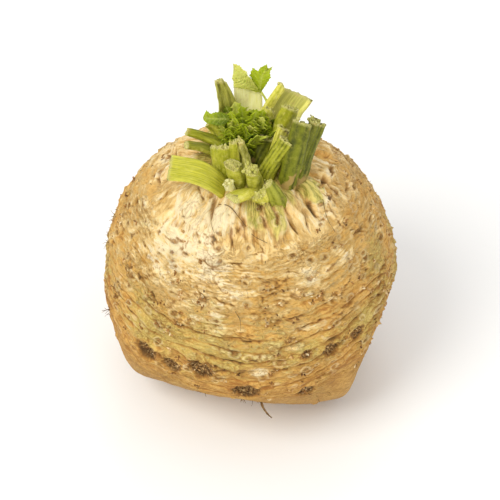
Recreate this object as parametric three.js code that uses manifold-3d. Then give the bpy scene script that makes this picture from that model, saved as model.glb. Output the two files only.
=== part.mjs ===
// A celeriac root: the swollen bulb with its rings and root scars, the cut petiole stubs that stand on its
// crown, and the young leaves between them. Millimetres, +Z up, the front is -Y. The origin is the middle of
// the flat spot that the bulb rests on.
import * as THREE from "three";
import { mergeVertices } from "three/addons/utils/BufferGeometryUtils.js";
import Module from "manifold-3d";

const wasm = await Module();
wasm.setup();

// Driving dimensions
const BALL_RADIUS = 60;
const CENTRE_HEIGHT = 49;
const CLEARANCE = 0.3;
const COLUMNS = 60;
const SEED = 7;

// The bulb's large form. Azimuth 0 is +X and -90 the front, elevation is above the middle of the bulb.
const LOBES = [
  { azimuth: -150, elevation: -29, height: 4.6, spread: 16 },
  { azimuth: -173, elevation: -8, height: 1.8, spread: 8 },
  { azimuth: -41, elevation: -35, height: 8.0, spread: 18 },
  { azimuth: -4, elevation: -2, height: 0.8, spread: 20 },
  { azimuth: 150, elevation: 32, height: 1.0, spread: 38 },
  { azimuth: 35, elevation: 42, height: 1.0, spread: 24 },
  { azimuth: -90, elevation: 84, height: 1.5, spread: 26 },
  { azimuth: -82, elevation: 4, height: 1.6, spread: 30 },
  { azimuth: 100, elevation: -18, height: 2.6, spread: 26 },
  { azimuth: 62, elevation: -12, height: -2.4, spread: 18 },
  { azimuth: 168, elevation: -2, height: -1.6, spread: 18 },
];

// Flat places that a knife left where the roots were trimmed off: depth is measured from the bulb's middle.
const CUTS = [
  { azimuth: -107, elevation: -46, depth: 53.7 },
  { azimuth: -80, elevation: -46, depth: 58.8 },
  { azimuth: -16, elevation: -16, depth: 57.8 },
  { azimuth: 132, elevation: -50, depth: 53.5 },
  { azimuth: 40, elevation: -52, depth: 54.5 },
];
const CUT_ROUNDING = 1.6;

// Rings round the bulb, counted along q, the share of the way from the crown to the edge of the flat spot.
// They wander up and down a little on their way round.
const RING_FIRST = 0.27;
const RING_LAST = 0.78;
const RING_COUNT = 16;
const RING_HEIGHT = 0.52;
const RING_WANDER = 0.2;
const CROWN_ROWS = 10;
const FOOT_ROWS = 6;

// Petiole bases that lie on the shoulder as broad scales. start and reach are values of q.
const FOLDS = [
  { azimuth: -143, width: 13, height: 3.0, start: 0.1, reach: 0.258 },
  { azimuth: -110, width: 10, height: 2.2, start: 0.1, reach: 0.25 },
  { azimuth: -89, width: 8.5, height: 2.0, start: 0.09, reach: 0.24 },
  { azimuth: -70, width: 8.5, height: 2.4, start: 0.09, reach: 0.255 },
  { azimuth: -52, width: 8.5, height: 2.0, start: 0.09, reach: 0.24 },
  { azimuth: -28, width: 11, height: 2.6, start: 0.09, reach: 0.262 },
  { azimuth: 1, width: 11, height: 2.0, start: 0.09, reach: 0.25 },
  { azimuth: 30, width: 12, height: 2.4, start: 0.09, reach: 0.26 },
  { azimuth: 61, width: 11, height: 2.0, start: 0.09, reach: 0.24 },
  { azimuth: 90, width: 12, height: 2.6, start: 0.09, reach: 0.258 },
  { azimuth: 119, width: 11, height: 2.1, start: 0.09, reach: 0.245 },
  { azimuth: 148, width: 12, height: 2.4, start: 0.09, reach: 0.258 },
  { azimuth: 178, width: 11, height: 2.0, start: 0.09, reach: 0.245 },
];

// Root scars: a pit with a raised rim. Radius and depth are in millimetres.
const SCARS = [
  { azimuth: -134, elevation: -4, radius: 6.0, depth: 1.8 },
  { azimuth: -121.5, elevation: -5, radius: 5.0, depth: 1.6 },
  { azimuth: -109, elevation: -1, radius: 6.0, depth: 1.6 },
  { azimuth: -91.5, elevation: -10, radius: 6.0, depth: 1.6 },
  { azimuth: -68, elevation: -15.5, radius: 4.5, depth: 1.1 },
  { azimuth: -68.5, elevation: 6, radius: 3.0, depth: 0.9 },
  { azimuth: -58, elevation: 4, radius: 4.2, depth: 1.2 },
  { azimuth: -45, elevation: 4.5, radius: 4.2, depth: 1.2 },
  { azimuth: 5, elevation: -15, radius: 5.0, depth: 1.3 },
  { azimuth: 60, elevation: -12, radius: 6.0, depth: 1.5 },
  { azimuth: 84, elevation: 6, radius: 4.0, depth: 1.0 },
  { azimuth: 112, elevation: -8, radius: 6.5, depth: 1.6 },
  { azimuth: 158, elevation: -14, radius: 5.5, depth: 1.4 },
  { azimuth: -168, elevation: -20, radius: 4.5, depth: 1.2 },
];
const SCAR_RIM = 0.7;

// Gentle lumps all over the bulb, in millimetres.
const LUMP_HEIGHT = 0.5;

// Side-root stubs, broken off short, spaced evenly by the golden angle with a seeded jitter.
const STUB_COUNT = 34;
const STUB_SIDES = 5;
const STUB_SUNK = 2.5;

// Thin rootlets: points along each, in millimetres, the first one sunk in the bulb.
const ROOTLETS = [
  { radius: 0.6, route: [[3.5, -50, 27], [5, -55.6, 24.5], [6.6, -55.2, 20], [8.8, -53, 14.5]] },
  { radius: 0.7, route: [[20, 50, 36], [21, 57.6, 33.5], [22, 57.8, 29], [23.5, 56, 24.5]] },
  { radius: 0.6, route: [[-38, 34, 32], [-43.4, 38.4, 30.2], [-42.6, 39.4, 26], [-40, 40.6, 22]] },
];
const ROOTLET_SIDES = 5;

// Petiole stubs. look: colour group. route: points from under the crown to the cut. width and thick: at the
// base and at the cut. curl: half angle of the crescent section in degrees. out: the way the ribbed, convex
// side faces. ribs: their height. slant: how much further the right-hand edge of the cut reaches, as a share
// of the width. tilt: the same from the hollow side to the ribbed side.
const STALKS = [
  {
    name: "stalk_back_sheath", look: "bright",
    route: [[5, 7, 103], [8.8, 12, 112], [13, 17, 119.2], [18.1, 20.9, 125.6]],
    width: [14, 18.5], thick: [3.2, 2.4], curl: [50, 74],
    out: [0.35, 1, 0.1], ribs: 0.15, slant: -0.05, tilt: 0,
  },
  {
    name: "stalk_back_narrow", look: "bright",
    route: [[3.5, 10, 105], [4.6, 12.6, 114], [6.6, 15, 121.8], [13.2, 19, 131]],
    width: [4.6, 3.4], thick: [3.2, 2.4], curl: [40, 40],
    out: [0.3, -1, 0.3], ribs: 0.12, slant: -0.3, tilt: 0,
  },
  {
    name: "stalk_back_pale", look: "pale",
    route: [[0, 10, 102], [0, 16.8, 110], [-0.6, 21.6, 118.8], [-0.9, 24.6, 126.4]],
    width: [12, 11.6], thick: [3.4, 2.2], curl: [45, 26],
    out: [0, 1, 0.1], ribs: 0.1, slant: 0.05, tilt: 0,
  },
  {
    name: "stalk_back_withered", look: "withered",
    route: [[-7.5, 8, 104], [-9.2, 12, 115], [-9.6, 17, 124], [-11.8, 21, 131.6]],
    width: [9, 4.8], thick: [3.4, 1.8], curl: [60, 40],
    out: [-0.5, 0.9, 0], ribs: 0.15, slant: 0.3, tilt: 0,
  },
  {
    name: "stalk_left_upper", look: "green",
    route: [[-6.5, 2, 104], [-11, 4.5, 112], [-18, 6, 115.2], [-25, 6, 117.8]],
    width: [7, 4], thick: [4.4, 3], curl: [40, 34],
    out: [-0.3, -0.3, -1], ribs: 0.15, slant: 0.3, tilt: 0,
  },
  {
    name: "stalk_left_lower", look: "dark",
    route: [[-8, -2, 104], [-13, 0.3, 110.5], [-19, 1, 114], [-25.4, 1, 115.2]],
    width: [7, 3.8], thick: [4.4, 3], curl: [40, 34],
    out: [-0.3, -0.5, -1], ribs: 0.15, slant: -0.2, tilt: 0,
  },
  {
    name: "stalk_left_stub", look: "green",
    route: [[-9, 6.5, 102], [-11, 9, 110], [-13.6, 11, 114.4], [-16.8, 12, 117.3]],
    width: [9, 7], thick: [4, 3], curl: [50, 40],
    out: [-0.4, -0.6, -0.6], ribs: 0.15, slant: 0.2, tilt: 0,
  },
  {
    name: "stalk_left_arched", look: "bright",
    route: [[-7, -12, 98], [-12, -16.5, 109], [-20, -17.5, 116], [-31.5, -14, 115.6]],
    width: [10, 10.6], thick: [4.6, 2.8], curl: [50, 28],
    out: [-0.45, 0.5, -0.9], ribs: 0.05, slant: 0.22, tilt: 0,
  },
  {
    name: "stalk_left_flat", look: "green",
    route: [[-7.5, -9, 99], [-10, -10.8, 109], [-11.4, -9.2, 116], [-11.8, -8, 122]],
    width: [9.5, 7.6], thick: [3.6, 2.6], curl: [40, 26],
    out: [-0.25, -1, 0.1], ribs: 0.05, slant: 0.05, tilt: 0,
  },
  {
    name: "stalk_right_tall", look: "dark",
    route: [[12, -12.5, 99], [14.4, -14.6, 109], [17, -12, 119.4], [20.6, -5.6, 132.2]],
    width: [9, 6.6], thick: [6, 5.4], curl: [60, 62],
    out: [-0.1, -1, 0.1], ribs: 0.28, slant: -0.1, tilt: 0.15,
  },
  {
    name: "stalk_right_cut", look: "dark",
    route: [[15, -10, 100], [18.4, -11, 110], [20.8, -8, 119.6], [24.8, -1.8, 130.2]],
    width: [7, 5.4], thick: [4.8, 4.6], curl: [56, 60],
    out: [0.7, -0.9, 0], ribs: 0.25, slant: 0.1, tilt: -0.3,
  },
  {
    name: "stalk_right_dark", look: "dark",
    route: [[16.5, -7, 98], [21.3, -10, 107], [24, -6, 117.2], [27.6, 0.5, 126.6]],
    width: [8.5, 5.4], thick: [4.8, 4.2], curl: [58, 60],
    out: [1, -0.6, 0], ribs: 0.25, slant: 0.1, tilt: 0.1,
  },
  {
    name: "stalk_right_ribbed", look: "bright",
    route: [[4.5, -9, 101], [6.8, -12, 111.5], [10.6, -10.8, 119.4], [14.8, -9.6, 126.4]],
    width: [8, 7], thick: [5, 4.6], curl: [52, 62],
    out: [0.3, -1, 0.1], ribs: 0.3, slant: -0.15, tilt: 0.1,
  },
  {
    name: "stub_behind_ribbed", look: "bright",
    route: [[8, -3, 104], [10.4, -3.4, 116], [11.8, -3, 121], [13.4, -2.4, 126.4]],
    width: [6.5, 4.6], thick: [4.6, 3.8], curl: [50, 56],
    out: [0.3, -1, 0.1], ribs: 0.15, slant: -0.5, tilt: 0.3,
  },
  {
    name: "stalk_mid_ribbed", look: "dark",
    route: [[1.5, -4, 103], [3.7, -3.6, 110.5], [5.6, -1.6, 114.9], [7.8, 0, 119.4]],
    width: [8, 8.8], thick: [4.4, 3.6], curl: [55, 60],
    out: [0.1, -1, 0.1], ribs: 0.3, slant: 0.2, tilt: 0,
  },
  {
    name: "stalk_right_upper", look: "green",
    route: [[8, 1.5, 103], [11, 3.6, 114], [13.2, 6, 122], [15.7, 8, 128.4]],
    width: [8, 6.4], thick: [5.6, 5], curl: [52, 56],
    out: [0.3, -0.9, 0.1], ribs: 0.15, slant: -0.1, tilt: 0.2,
  },
  {
    name: "stub_back_small", look: "bright",
    route: [[4, 3.5, 103], [4.9, 6, 114], [6, 8.5, 120.4], [7.8, 11, 125]],
    width: [6, 4], thick: [4, 3.2], curl: [50, 50],
    out: [0.2, -0.9, 0.1], ribs: 0.15, slant: -0.4, tilt: 0,
  },
  {
    name: "stalk_mid_left", look: "green",
    route: [[-4, -8, 102], [-5.6, -9.6, 111], [-6.3, -9, 118], [-6.7, -8, 124.4]],
    width: [6, 4.2], thick: [3.4, 2.6], curl: [40, 40],
    out: [-0.1, -1, 0], ribs: 0.1, slant: 0.1, tilt: 0,
  },
  {
    name: "stalk_mid_narrow", look: "withered",
    route: [[0.5, -6.5, 102], [-1.5, -8, 112], [-2.8, -7.8, 119], [-4.4, -7, 124.6]],
    width: [6, 4], thick: [4, 3.2], curl: [45, 50],
    out: [0, -1, 0], ribs: 0.1, slant: -0.3, tilt: -0.2,
  },
  {
    name: "stub_cut_left", look: "bright",
    route: [[-2, -12, 99], [-4.3, -15, 108], [-5.8, -16, 115], [-7.4, -16.2, 120.2]],
    width: [8.5, 7.6], thick: [5, 4.2], curl: [50, 64],
    out: [0.25, -1, -0.1], ribs: 0.1, slant: -0.35, tilt: -0.7,
  },
  {
    name: "stub_cut_middle", look: "bright",
    route: [[3, -13, 98], [2.6, -17, 108.5], [1.2, -18, 114.6], [-0.4, -18.4, 119.8]],
    width: [8.5, 6], thick: [5, 4.4], curl: [50, 60],
    out: [0.5, -1, 0], ribs: 0.1, slant: -0.2, tilt: -0.9,
  },
  {
    name: "stub_front_wedge", look: "bright",
    route: [[2, -14, 98], [0.2, -19.5, 107.5], [-2.8, -23.6, 111], [-6.9, -27.4, 112.2]],
    width: [9, 7.4], thick: [5.4, 4.4], curl: [64, 66],
    out: [0.3, -0.4, -1], ribs: 0.05, slant: 0.1, tilt: -0.5,
  },
  {
    name: "stub_front_low", look: "bright",
    route: [[5, -17, 96], [5, -21, 104], [4.2, -23, 108.4], [2.9, -24.6, 111.8]],
    width: [9, 7.6], thick: [4.2, 3.4], curl: [54, 66],
    out: [0.1, -1, -0.3], ribs: 0.15, slant: 0.1, tilt: -0.2,
  },
  {
    name: "stub_right_low", look: "green",
    route: [[13, -19.5, 96], [12, -22.4, 103.4], [9.6, -23, 110], [6.9, -22.8, 116]],
    width: [9.5, 4], thick: [4.2, 3], curl: [45, 45],
    out: [0.3, -1, 0.4], ribs: 0.3, slant: 0.3, tilt: 0,
  },
  {
    name: "stub_left_low", look: "pale",
    route: [[-6.5, -14, 99], [-7.4, -17.4, 107.5], [-8, -20.2, 114.4]],
    width: [7, 4], thick: [3.8, 2.8], curl: [50, 55],
    out: [-0.3, -1, 0], ribs: 0.05, slant: 0.3, tilt: -0.3,
  },
  {
    name: "stub_back_right", look: "green",
    route: [[12, 7, 99], [15.5, 10.5, 107], [19, 13.5, 114]],
    width: [10, 7], thick: [4.4, 3.4], curl: [50, 50],
    out: [0.8, 0.6, 0], ribs: 0.15, slant: 0.2, tilt: 0,
  },
  {
    name: "stub_back_left", look: "green",
    route: [[-3, 16, 99], [-4.5, 21, 107], [-5.5, 24.5, 113]],
    width: [10, 7], thick: [4.4, 3.2], curl: [50, 50],
    out: [-0.1, 1, 0], ribs: 0.15, slant: 0.2, tilt: 0,
  },
];
const STALK_STEPS = 5;
const SECTION_STEPS = 6;
const BASE_FLARE = 1.35;

// Leaf blades. Each row holds the far edge, the midrib and the near edge of the blade, as distances along
// the leaf and across it. along and across are the ways these are measured.
const TOP_LEAF_STEM = {
  radius: 0.9,
  route: [[2, 9.5, 106], [6.6, 13.5, 114.5], [6.9, 18.5, 122], [4.2, 21.4, 126.2]],
};
const TOP_LEAFLETS = [
  {
    base: [4.1, 21.5, 125.2], along: [-0.78, 0.05, 0.62], across: [0.62, -0.1, 0.78], arch: 0.9, fold: 0.12,
    rows: [
      [1.0, 0.8, 0.6, 0, 1.0, -0.5], [4.0, 2.3, 2.5, 0, 2.6, -0.9], [6.5, 3.5, 4.5, 0, 4.4, -1.4],
      [8.4, 4.6, 6.5, 0, 6.2, -2.0], [9.8, 4.4, 8.3, 0, 8.2, -3.2], [11.2, 5.8, 10.0, 0.2, 10.2, -4.2],
      [13.0, 5.4, 11.7, 0.8, 11.6, -2.4], [15.0, 5.8, 13.6, 1.5, 13.2, -1.4],
      [17.4, 4.6, 15.6, 2.7, 14.4, 0.8],
    ],
  },
  {
    base: [4.1, 21.3, 125.2], along: [0.05, 0.08, 1], across: [1, -0.25, 0], arch: 0.8, fold: 0.12,
    rows: [
      [1.0, 0.6, 0.4, 0, 1.0, -0.6], [3.0, 1.5, 2.6, 0, 4.0, -2.6], [5.5, 2.6, 4.8, 0.1, 8.2, -4.5],
      [8.7, 4.0, 7.0, 0.3, 11.4, -3.7], [10.8, 3.5, 9.0, 0.6, 10.3, -1.4],
      [13.6, 4.4, 10.8, 1.4, 12.2, -0.5],
      [12.4, 3.1, 11.4, 2.2, 14.0, 1.9],
    ],
  },
];
const LEFT_LEAF_STEM = {
  radius: 1.0,
  route: [[-3, 0, 104], [-5.5, 2.5, 112.5], [-6.4, 4.2, 119], [-8.6, 5, 124.6]],
};
const LEFT_LEAFLETS = [
  {
    base: [-8.0, 5, 124.9], along: [-1, 0, 0.06], across: [0.05, 0.6, 0.8], arch: 0.9, fold: 0.25,
    rows: [
      [0.3, 0.6, 0.0, 0, 0.4, -0.8], [1.3, 2.0, 1.5, 0.1, 1.8, -1.7], [3.5, 2.7, 3.4, 0.1, 3.6, -2.5],
      [5.7, 2.7, 5.4, 0, 5.3, -2.6], [7.7, 1.9, 7.2, 0, 7.0, -2.2], [9.4, 3.2, 8.9, 0.1, 8.7, -2.1],
      [10.4, 1.0, 10.6, 0.1, 10.3, -0.9],
    ],
  },
];

// The heart: young toothed leaflets round a small core, the outer ones longer and leaning further out.
const HEART_CENTRE = [-0.3, 4, 0];
const HEART_FOOT = 104;
const HEART_TOP = 119;
const HEART_RADIUS = 4.2;
const HEART_LEAFLETS = 13;
const HEART_ROWS = [
  [0.0, 0.12, 0.0, 0, 0.0, -0.12], [0.28, 0.26, 0.2, 0, 0.28, -0.26], [0.58, 0.52, 0.38, 0, 0.54, -0.48],
  [0.64, 0.26, 0.6, 0, 0.62, -0.26], [0.92, 0.42, 0.82, 0, 0.88, -0.4], [1.06, 0.14, 1.1, 0, 1.02, -0.14],
];
const BLADE_THICKNESS = 0.8;

const COLOURS = {
  bulb: 0xd9b573,
  bright: 0xb7c04a,
  green: 0x93a53c,
  dark: 0x708a32,
  pale: 0xdedca6,
  withered: 0x918f42,
  leaf: 0x6f9a2a,
};

const radians = THREE.MathUtils.degToRad;

// Repeatable random numbers from 0 to 1.
function seededRandom(seed) {
  let state = seed;
  return () => {
    state = (state + 0x6d2b79f5) | 0;
    let mixed = Math.imul(state ^ (state >>> 15), 1 | state);
    mixed = (mixed + Math.imul(mixed ^ (mixed >>> 7), 61 | mixed)) ^ mixed;
    return ((mixed ^ (mixed >>> 14)) >>> 0) / 4294967296;
  };
}

// Unit vector for an azimuth and an elevation in degrees.
function towards(azimuth, elevation) {
  const level = Math.cos(radians(elevation));
  return new THREE.Vector3(
    level * Math.cos(radians(azimuth)),
    level * Math.sin(radians(azimuth)),
    Math.sin(radians(elevation)),
  );
}

// Unit vector for an azimuth and an angle down from +Z, both in radians.
function direction(azimuth, polar) {
  return new THREE.Vector3(
    Math.sin(polar) * Math.cos(azimuth),
    Math.sin(polar) * Math.sin(azimuth),
    Math.cos(polar),
  );
}

// The turn from one azimuth to another, from -180 to 180 degrees.
function turnBetween(azimuth, other) {
  return THREE.MathUtils.euclideanModulo(azimuth - other + Math.PI, 2 * Math.PI) - Math.PI;
}

const smoothstep = (low, high, value) => {
  const t = THREE.MathUtils.clamp((value - low) / (high - low), 0, 1);
  return t * t * (3 - 2 * t);
};

const withAxis = (item) => ({ ...item, axis: towards(item.azimuth, item.elevation) });
const lobes = LOBES.map(withAxis);
const cuts = CUTS.map(withAxis);
const scars = SCARS.map(withAxis);

// The smaller of two lengths, with the corner between them rounded.
function roundedMin(a, b, rounding) {
  return -rounding * Math.log(Math.exp(-a / rounding) + Math.exp(-b / rounding));
}

// Distance from the bulb's middle to its skin without the relief.
function plainRadius(way) {
  let radius = BALL_RADIUS;
  for (const lobe of lobes) {
    radius += lobe.height * Math.exp(-((way.angleTo(lobe.axis) / radians(lobe.spread)) ** 2));
  }
  for (const cut of cuts) {
    const facing = way.dot(cut.axis);
    if (facing > 0.3) radius = roundedMin(radius, cut.depth / facing, CUT_ROUNDING);
  }
  return radius;
}

// The angle from +Z at which the skin meets the surface that the bulb rests on.
function footPolar(azimuth) {
  let low = Math.PI / 2;
  let high = Math.PI;
  for (let i = 0; i < 40; i++) {
    const middle = (low + high) / 2;
    const drop = -Math.cos(middle) * plainRadius(direction(azimuth, middle));
    if (drop < CENTRE_HEIGHT) low = middle;
    else high = middle;
  }
  return (low + high) / 2;
}

// Scales of the petiole bases on the shoulder, each with a rounded lower edge.
function foldHeight(azimuth, q) {
  let height = 0;
  for (const fold of FOLDS) {
    const turn = turnBetween(azimuth, radians(fold.azimuth));
    const half = (fold.reach - fold.start) / 2;
    const across = Math.abs(turn) / radians(fold.width);
    const down = Math.max(0, q - fold.start - half) / half;
    const inside = 1 - smoothstep(0.55, 1.1, Math.hypot(across, down));
    height += fold.height * inside * smoothstep(fold.start - 0.04, fold.start + 0.04, q);
  }
  return height;
}

// How far a ring strays from its level, in rings.
function ringWander(azimuth, count) {
  const ease = smoothstep(0, 2.5, count) * (1 - smoothstep(RING_COUNT - 2.5, RING_COUNT, count));
  const wave = Math.sin(2 * azimuth + 0.35 * count) + 0.7 * Math.sin(5 * azimuth - 0.6 * count + 1.3);
  return RING_WANDER * ease * (wave + 0.45 * Math.sin(9 * azimuth + 1.1 * count));
}

// The value of q at a count of rings, on a given azimuth.
function ringShare(azimuth, count) {
  return RING_FIRST + ((RING_LAST - RING_FIRST) * (count + ringWander(azimuth, count))) / RING_COUNT;
}

// A sharp groove at each whole number of rings, stronger in some places than in others.
function ringHeight(azimuth, count) {
  const ease = smoothstep(-0.5, 2, count) * (1 - smoothstep(RING_COUNT - 4, RING_COUNT, count));
  const patches = Math.sin(3 * azimuth + 1.9 * count) * Math.sin(5 * azimuth - 1.7 * count + 0.8);
  const strength = 0.66 + 0.34 * patches;
  return -RING_HEIGHT * ease * strength * Math.cos(2 * Math.PI * count);
}

// Broad and small lumps, from a direction.
function lumpHeight({ x, y, z }) {
  const broad = Math.sin(6.1 * x + 1.3) * Math.sin(5.3 * y - 0.4) * Math.sin(6.7 * z + 2.1);
  const turned = Math.sin(13.7 * x + 4.1 * y) * Math.sin(12.1 * y - 5.3 * z + 1);
  const small = turned * Math.sin(11.3 * z + 3.7 * x);
  return LUMP_HEIGHT * (broad + 0.6 * small);
}

function scarHeight(way) {
  let height = 0;
  for (const scar of scars) {
    const away = (way.angleTo(scar.axis) * BALL_RADIUS) / scar.radius;
    if (away > 2) continue;
    const rim = SCAR_RIM * Math.exp(-(((away - 1) / 0.35) ** 2));
    height += scar.depth * (rim - Math.exp(-((away / 0.7) ** 2)));
  }
  return height;
}

// A point on the bulb's skin, or outside it by extra. count is the number of rings down to it.
function skinPoint(azimuth, q, count = -1, extra = 0) {
  const way = direction(azimuth, footPolar(azimuth) * q);
  const onFoot = 1 - smoothstep(0.9, 1, q);
  const shape = foldHeight(azimuth, q) + ringHeight(azimuth, count) + scarHeight(way) + lumpHeight(way);
  const relief = shape * onFoot;
  return way.multiplyScalar(plainRadius(way) + relief + extra).add(new THREE.Vector3(0, 0, CENTRE_HEIGHT));
}

// The bulb's closed skin, flat where it rests. Its rows are even on the crown and on the foot, and follow
// the crests and grooves of the rings between them.
function bulbGeometry(extra = 0) {
  const rows = [];
  for (let i = 1; i <= CROWN_ROWS; i++) {
    rows.push((azimuth) => skinPoint(azimuth, (RING_FIRST * i) / CROWN_ROWS, -1, extra));
  }
  for (let i = 1; i <= 2 * RING_COUNT; i++) {
    rows.push((azimuth) => skinPoint(azimuth, ringShare(azimuth, i / 2), i / 2, extra));
  }
  for (let i = 1; i <= FOOT_ROWS; i++) {
    const q = RING_LAST + ((1 - RING_LAST) * i) / FOOT_ROWS;
    rows.push((azimuth) => skinPoint(azimuth, q, RING_COUNT, extra));
  }
  const points = [skinPoint(0, 0, -1, extra)];
  for (const row of rows) {
    for (let c = 0; c < COLUMNS; c++) points.push(row((2 * Math.PI * c) / COLUMNS));
  }
  const at = (row, column) => 1 + row * COLUMNS + (column % COLUMNS);
  const faces = [];
  for (let c = 0; c < COLUMNS; c++) faces.push(0, at(0, c), at(0, c + 1));
  for (let r = 0; r + 1 < rows.length; r++) {
    for (let c = 0; c < COLUMNS; c++) {
      faces.push(at(r, c), at(r + 1, c), at(r + 1, c + 1));
      faces.push(at(r, c), at(r + 1, c + 1), at(r, c + 1));
    }
  }
  const last = rows.length - 1;
  const rim = [];
  for (let c = 0; c < COLUMNS; c++) {
    const point = points[at(last, c)];
    point.z = -extra;
    rim.push(new THREE.Vector2(point.x, point.y));
  }
  for (const [a, b, c] of THREE.ShapeUtils.triangulateShape(rim, [])) {
    faces.push(at(last, a), at(last, c), at(last, b));
  }
  return indexedGeometry(points, faces);
}

function indexedGeometry(points, faces) {
  const geometry = new THREE.BufferGeometry().setFromPoints(points);
  geometry.setIndex(faces);
  return geometry;
}

// A manifold-3d solid of a closed geometry, turned the right way out.
function solidOf(geometry) {
  const bare = geometry.clone();
  bare.deleteAttribute("normal");
  bare.deleteAttribute("uv");
  const merged = mergeVertices(bare, 1e-4);
  const triVerts = new Uint32Array(merged.index.array);
  const vertProperties = new Float32Array(merged.attributes.position.array);
  const made = new wasm.Manifold(new wasm.Mesh({ numProp: 3, vertProperties, triVerts }));
  if (made.volume() > 0) return made;
  for (let i = 0; i < triVerts.length; i += 3) {
    [triVerts[i + 1], triVerts[i + 2]] = [triVerts[i + 2], triVerts[i + 1]];
  }
  return new wasm.Manifold(new wasm.Mesh({ numProp: 3, vertProperties, triVerts }));
}

// The largest body of a solid: what a cut leaves loose is dropped.
function largestBody(solid) {
  return solid.decompose().reduce((best, body) => (body.volume() > best.volume() ? body : best));
}

function meshOf(name, solid, colour) {
  const made = solid.getMesh();
  const geometry = new THREE.BufferGeometry();
  geometry.setAttribute("position", new THREE.Float32BufferAttribute(made.vertProperties, 3));
  geometry.setIndex(Array.from(made.triVerts));
  geometry.computeVertexNormals();
  const material = new THREE.MeshStandardMaterial({ color: colour, roughness: 0.7, metalness: 0 });
  const mesh = new THREE.Mesh(geometry, material);
  mesh.name = name;
  return mesh;
}

function curveThrough(route) {
  return new THREE.CatmullRomCurve3(route.map((point) => new THREE.Vector3(...point)));
}

// Joins rings of points into a closed tube. capFaces lists the triangles that close one ring.
function loft(rings, capFaces) {
  const size = rings[0].length;
  const faces = [];
  for (let r = 0; r + 1 < rings.length; r++) {
    for (let i = 0; i < size; i++) {
      const [a, b] = [r * size + i, r * size + ((i + 1) % size)];
      faces.push(a, b, b + size, a, b + size, a + size);
    }
  }
  const end = (rings.length - 1) * size;
  for (const [a, b, c] of capFaces) faces.push(a, c, b, end + a, end + b, end + c);
  return indexedGeometry(rings.flat(), faces);
}

// A tapering round root or stem along a route.
function taperedTube({ route, radius, sides = ROOTLET_SIDES, tip = 0.45, steps = 6 }) {
  const curve = curveThrough(route);
  const rings = [];
  for (let i = 0; i <= steps; i++) {
    const along = curve.getTangentAt(i / steps);
    const across = new THREE.Vector3(0.3, 0.9, 0.1).cross(along).normalize();
    const third = along.clone().cross(across);
    const size = radius * (1 - (1 - tip) * (i / steps));
    rings.push(
      Array.from({ length: sides }, (_, k) => {
        const turn = (2 * Math.PI * k) / sides;
        return curve
          .getPointAt(i / steps)
          .addScaledVector(across, size * Math.cos(turn))
          .addScaledVector(third, size * Math.sin(turn));
      }),
    );
  }
  const cap = Array.from({ length: sides - 2 }, (_, k) => [0, k + 1, k + 2]);
  return loft(rings, cap);
}

// A petiole stub with a crescent section: ribbed side towards out, hollow side away from it.
function stalkGeometry(stalk, grow = 0) {
  const curve = curveThrough(stalk.route);
  const rings = [];
  for (let i = 0; i <= STALK_STEPS; i++) {
    const t = i / STALK_STEPS;
    const along = curve.getTangentAt(t);
    const outward = new THREE.Vector3(...stalk.out).normalize();
    outward.addScaledVector(along, -outward.dot(along)).normalize();
    const across = along.clone().cross(outward);
    const flare = 1 + (BASE_FLARE - 1) * (1 - smoothstep(0, 0.5, t));
    const width = THREE.MathUtils.lerp(...stalk.width, t) * flare + 2 * grow;
    const thick = THREE.MathUtils.lerp(...stalk.thick, t) + 2 * grow;
    const curl = radians(THREE.MathUtils.lerp(...stalk.curl, t));
    const bend = width / (2 * curl);
    const middle = curve.getPointAt(t);
    if (i === STALK_STEPS) middle.addScaledVector(along, grow);
    const side = (s, half) => {
      const reach = bend + half * Math.sqrt(1 - 0.82 * s * s);
      const sideways = reach * Math.sin(curl * s);
      const outwards = reach * Math.cos(curl * s) - bend * Math.cos(curl * 0.5);
      const onward = i === STALK_STEPS ? stalk.slant * sideways + stalk.tilt * outwards : 0;
      return middle
        .clone()
        .addScaledVector(across, sideways)
        .addScaledVector(outward, outwards)
        .addScaledVector(along, onward);
    };
    const ring = [];
    for (let k = 0; k <= SECTION_STEPS; k++) {
      const rib = k % 2 ? stalk.ribs : -stalk.ribs;
      ring.push(side((2 * k) / SECTION_STEPS - 1, thick / 2 + rib));
    }
    for (let k = SECTION_STEPS; k >= 0; k--) ring.push(side((2 * k) / SECTION_STEPS - 1, -thick / 2));
    rings.push(ring);
  }
  const cap = [];
  const opposite = 2 * SECTION_STEPS + 1;
  for (let k = 0; k < SECTION_STEPS; k++) {
    cap.push([k, k + 1, opposite - k - 1], [k, opposite - k - 1, opposite - k]);
  }
  return loft(rings, cap);
}

// A leaf blade from its rows, arched along the midrib and folded up from it. Both faces have the same
// triangles.
function bladeGeometry({ base, along, across, arch, fold, rows, size = 1 }) {
  const start = new THREE.Vector3(...base);
  const onward = new THREE.Vector3(...along).normalize();
  const sideways = new THREE.Vector3(...across);
  sideways.addScaledVector(onward, -sideways.dot(onward)).normalize();
  const normal = sideways.clone().cross(onward);
  const length = rows.at(-1)[2];
  const rings = rows.map((row) => {
    const line = [0, 2, 4].map((i) => {
      const bow = arch * Math.sin((Math.PI * Math.min(row[i], length)) / length);
      const lift = bow + fold * size * Math.abs(row[i + 1] - row[3]);
      return start
        .clone()
        .addScaledVector(onward, size * row[i])
        .addScaledVector(sideways, size * row[i + 1])
        .addScaledVector(normal, lift);
    });
    const top = line.map((point) => point.clone().addScaledVector(normal, BLADE_THICKNESS / 2));
    const under = line.map((point) => point.clone().addScaledVector(normal, -BLADE_THICKNESS / 2));
    return [...top, ...under.reverse()];
  });
  return loft(rings, [[0, 1, 4], [0, 4, 5], [1, 2, 3], [1, 3, 4]]);
}

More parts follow.
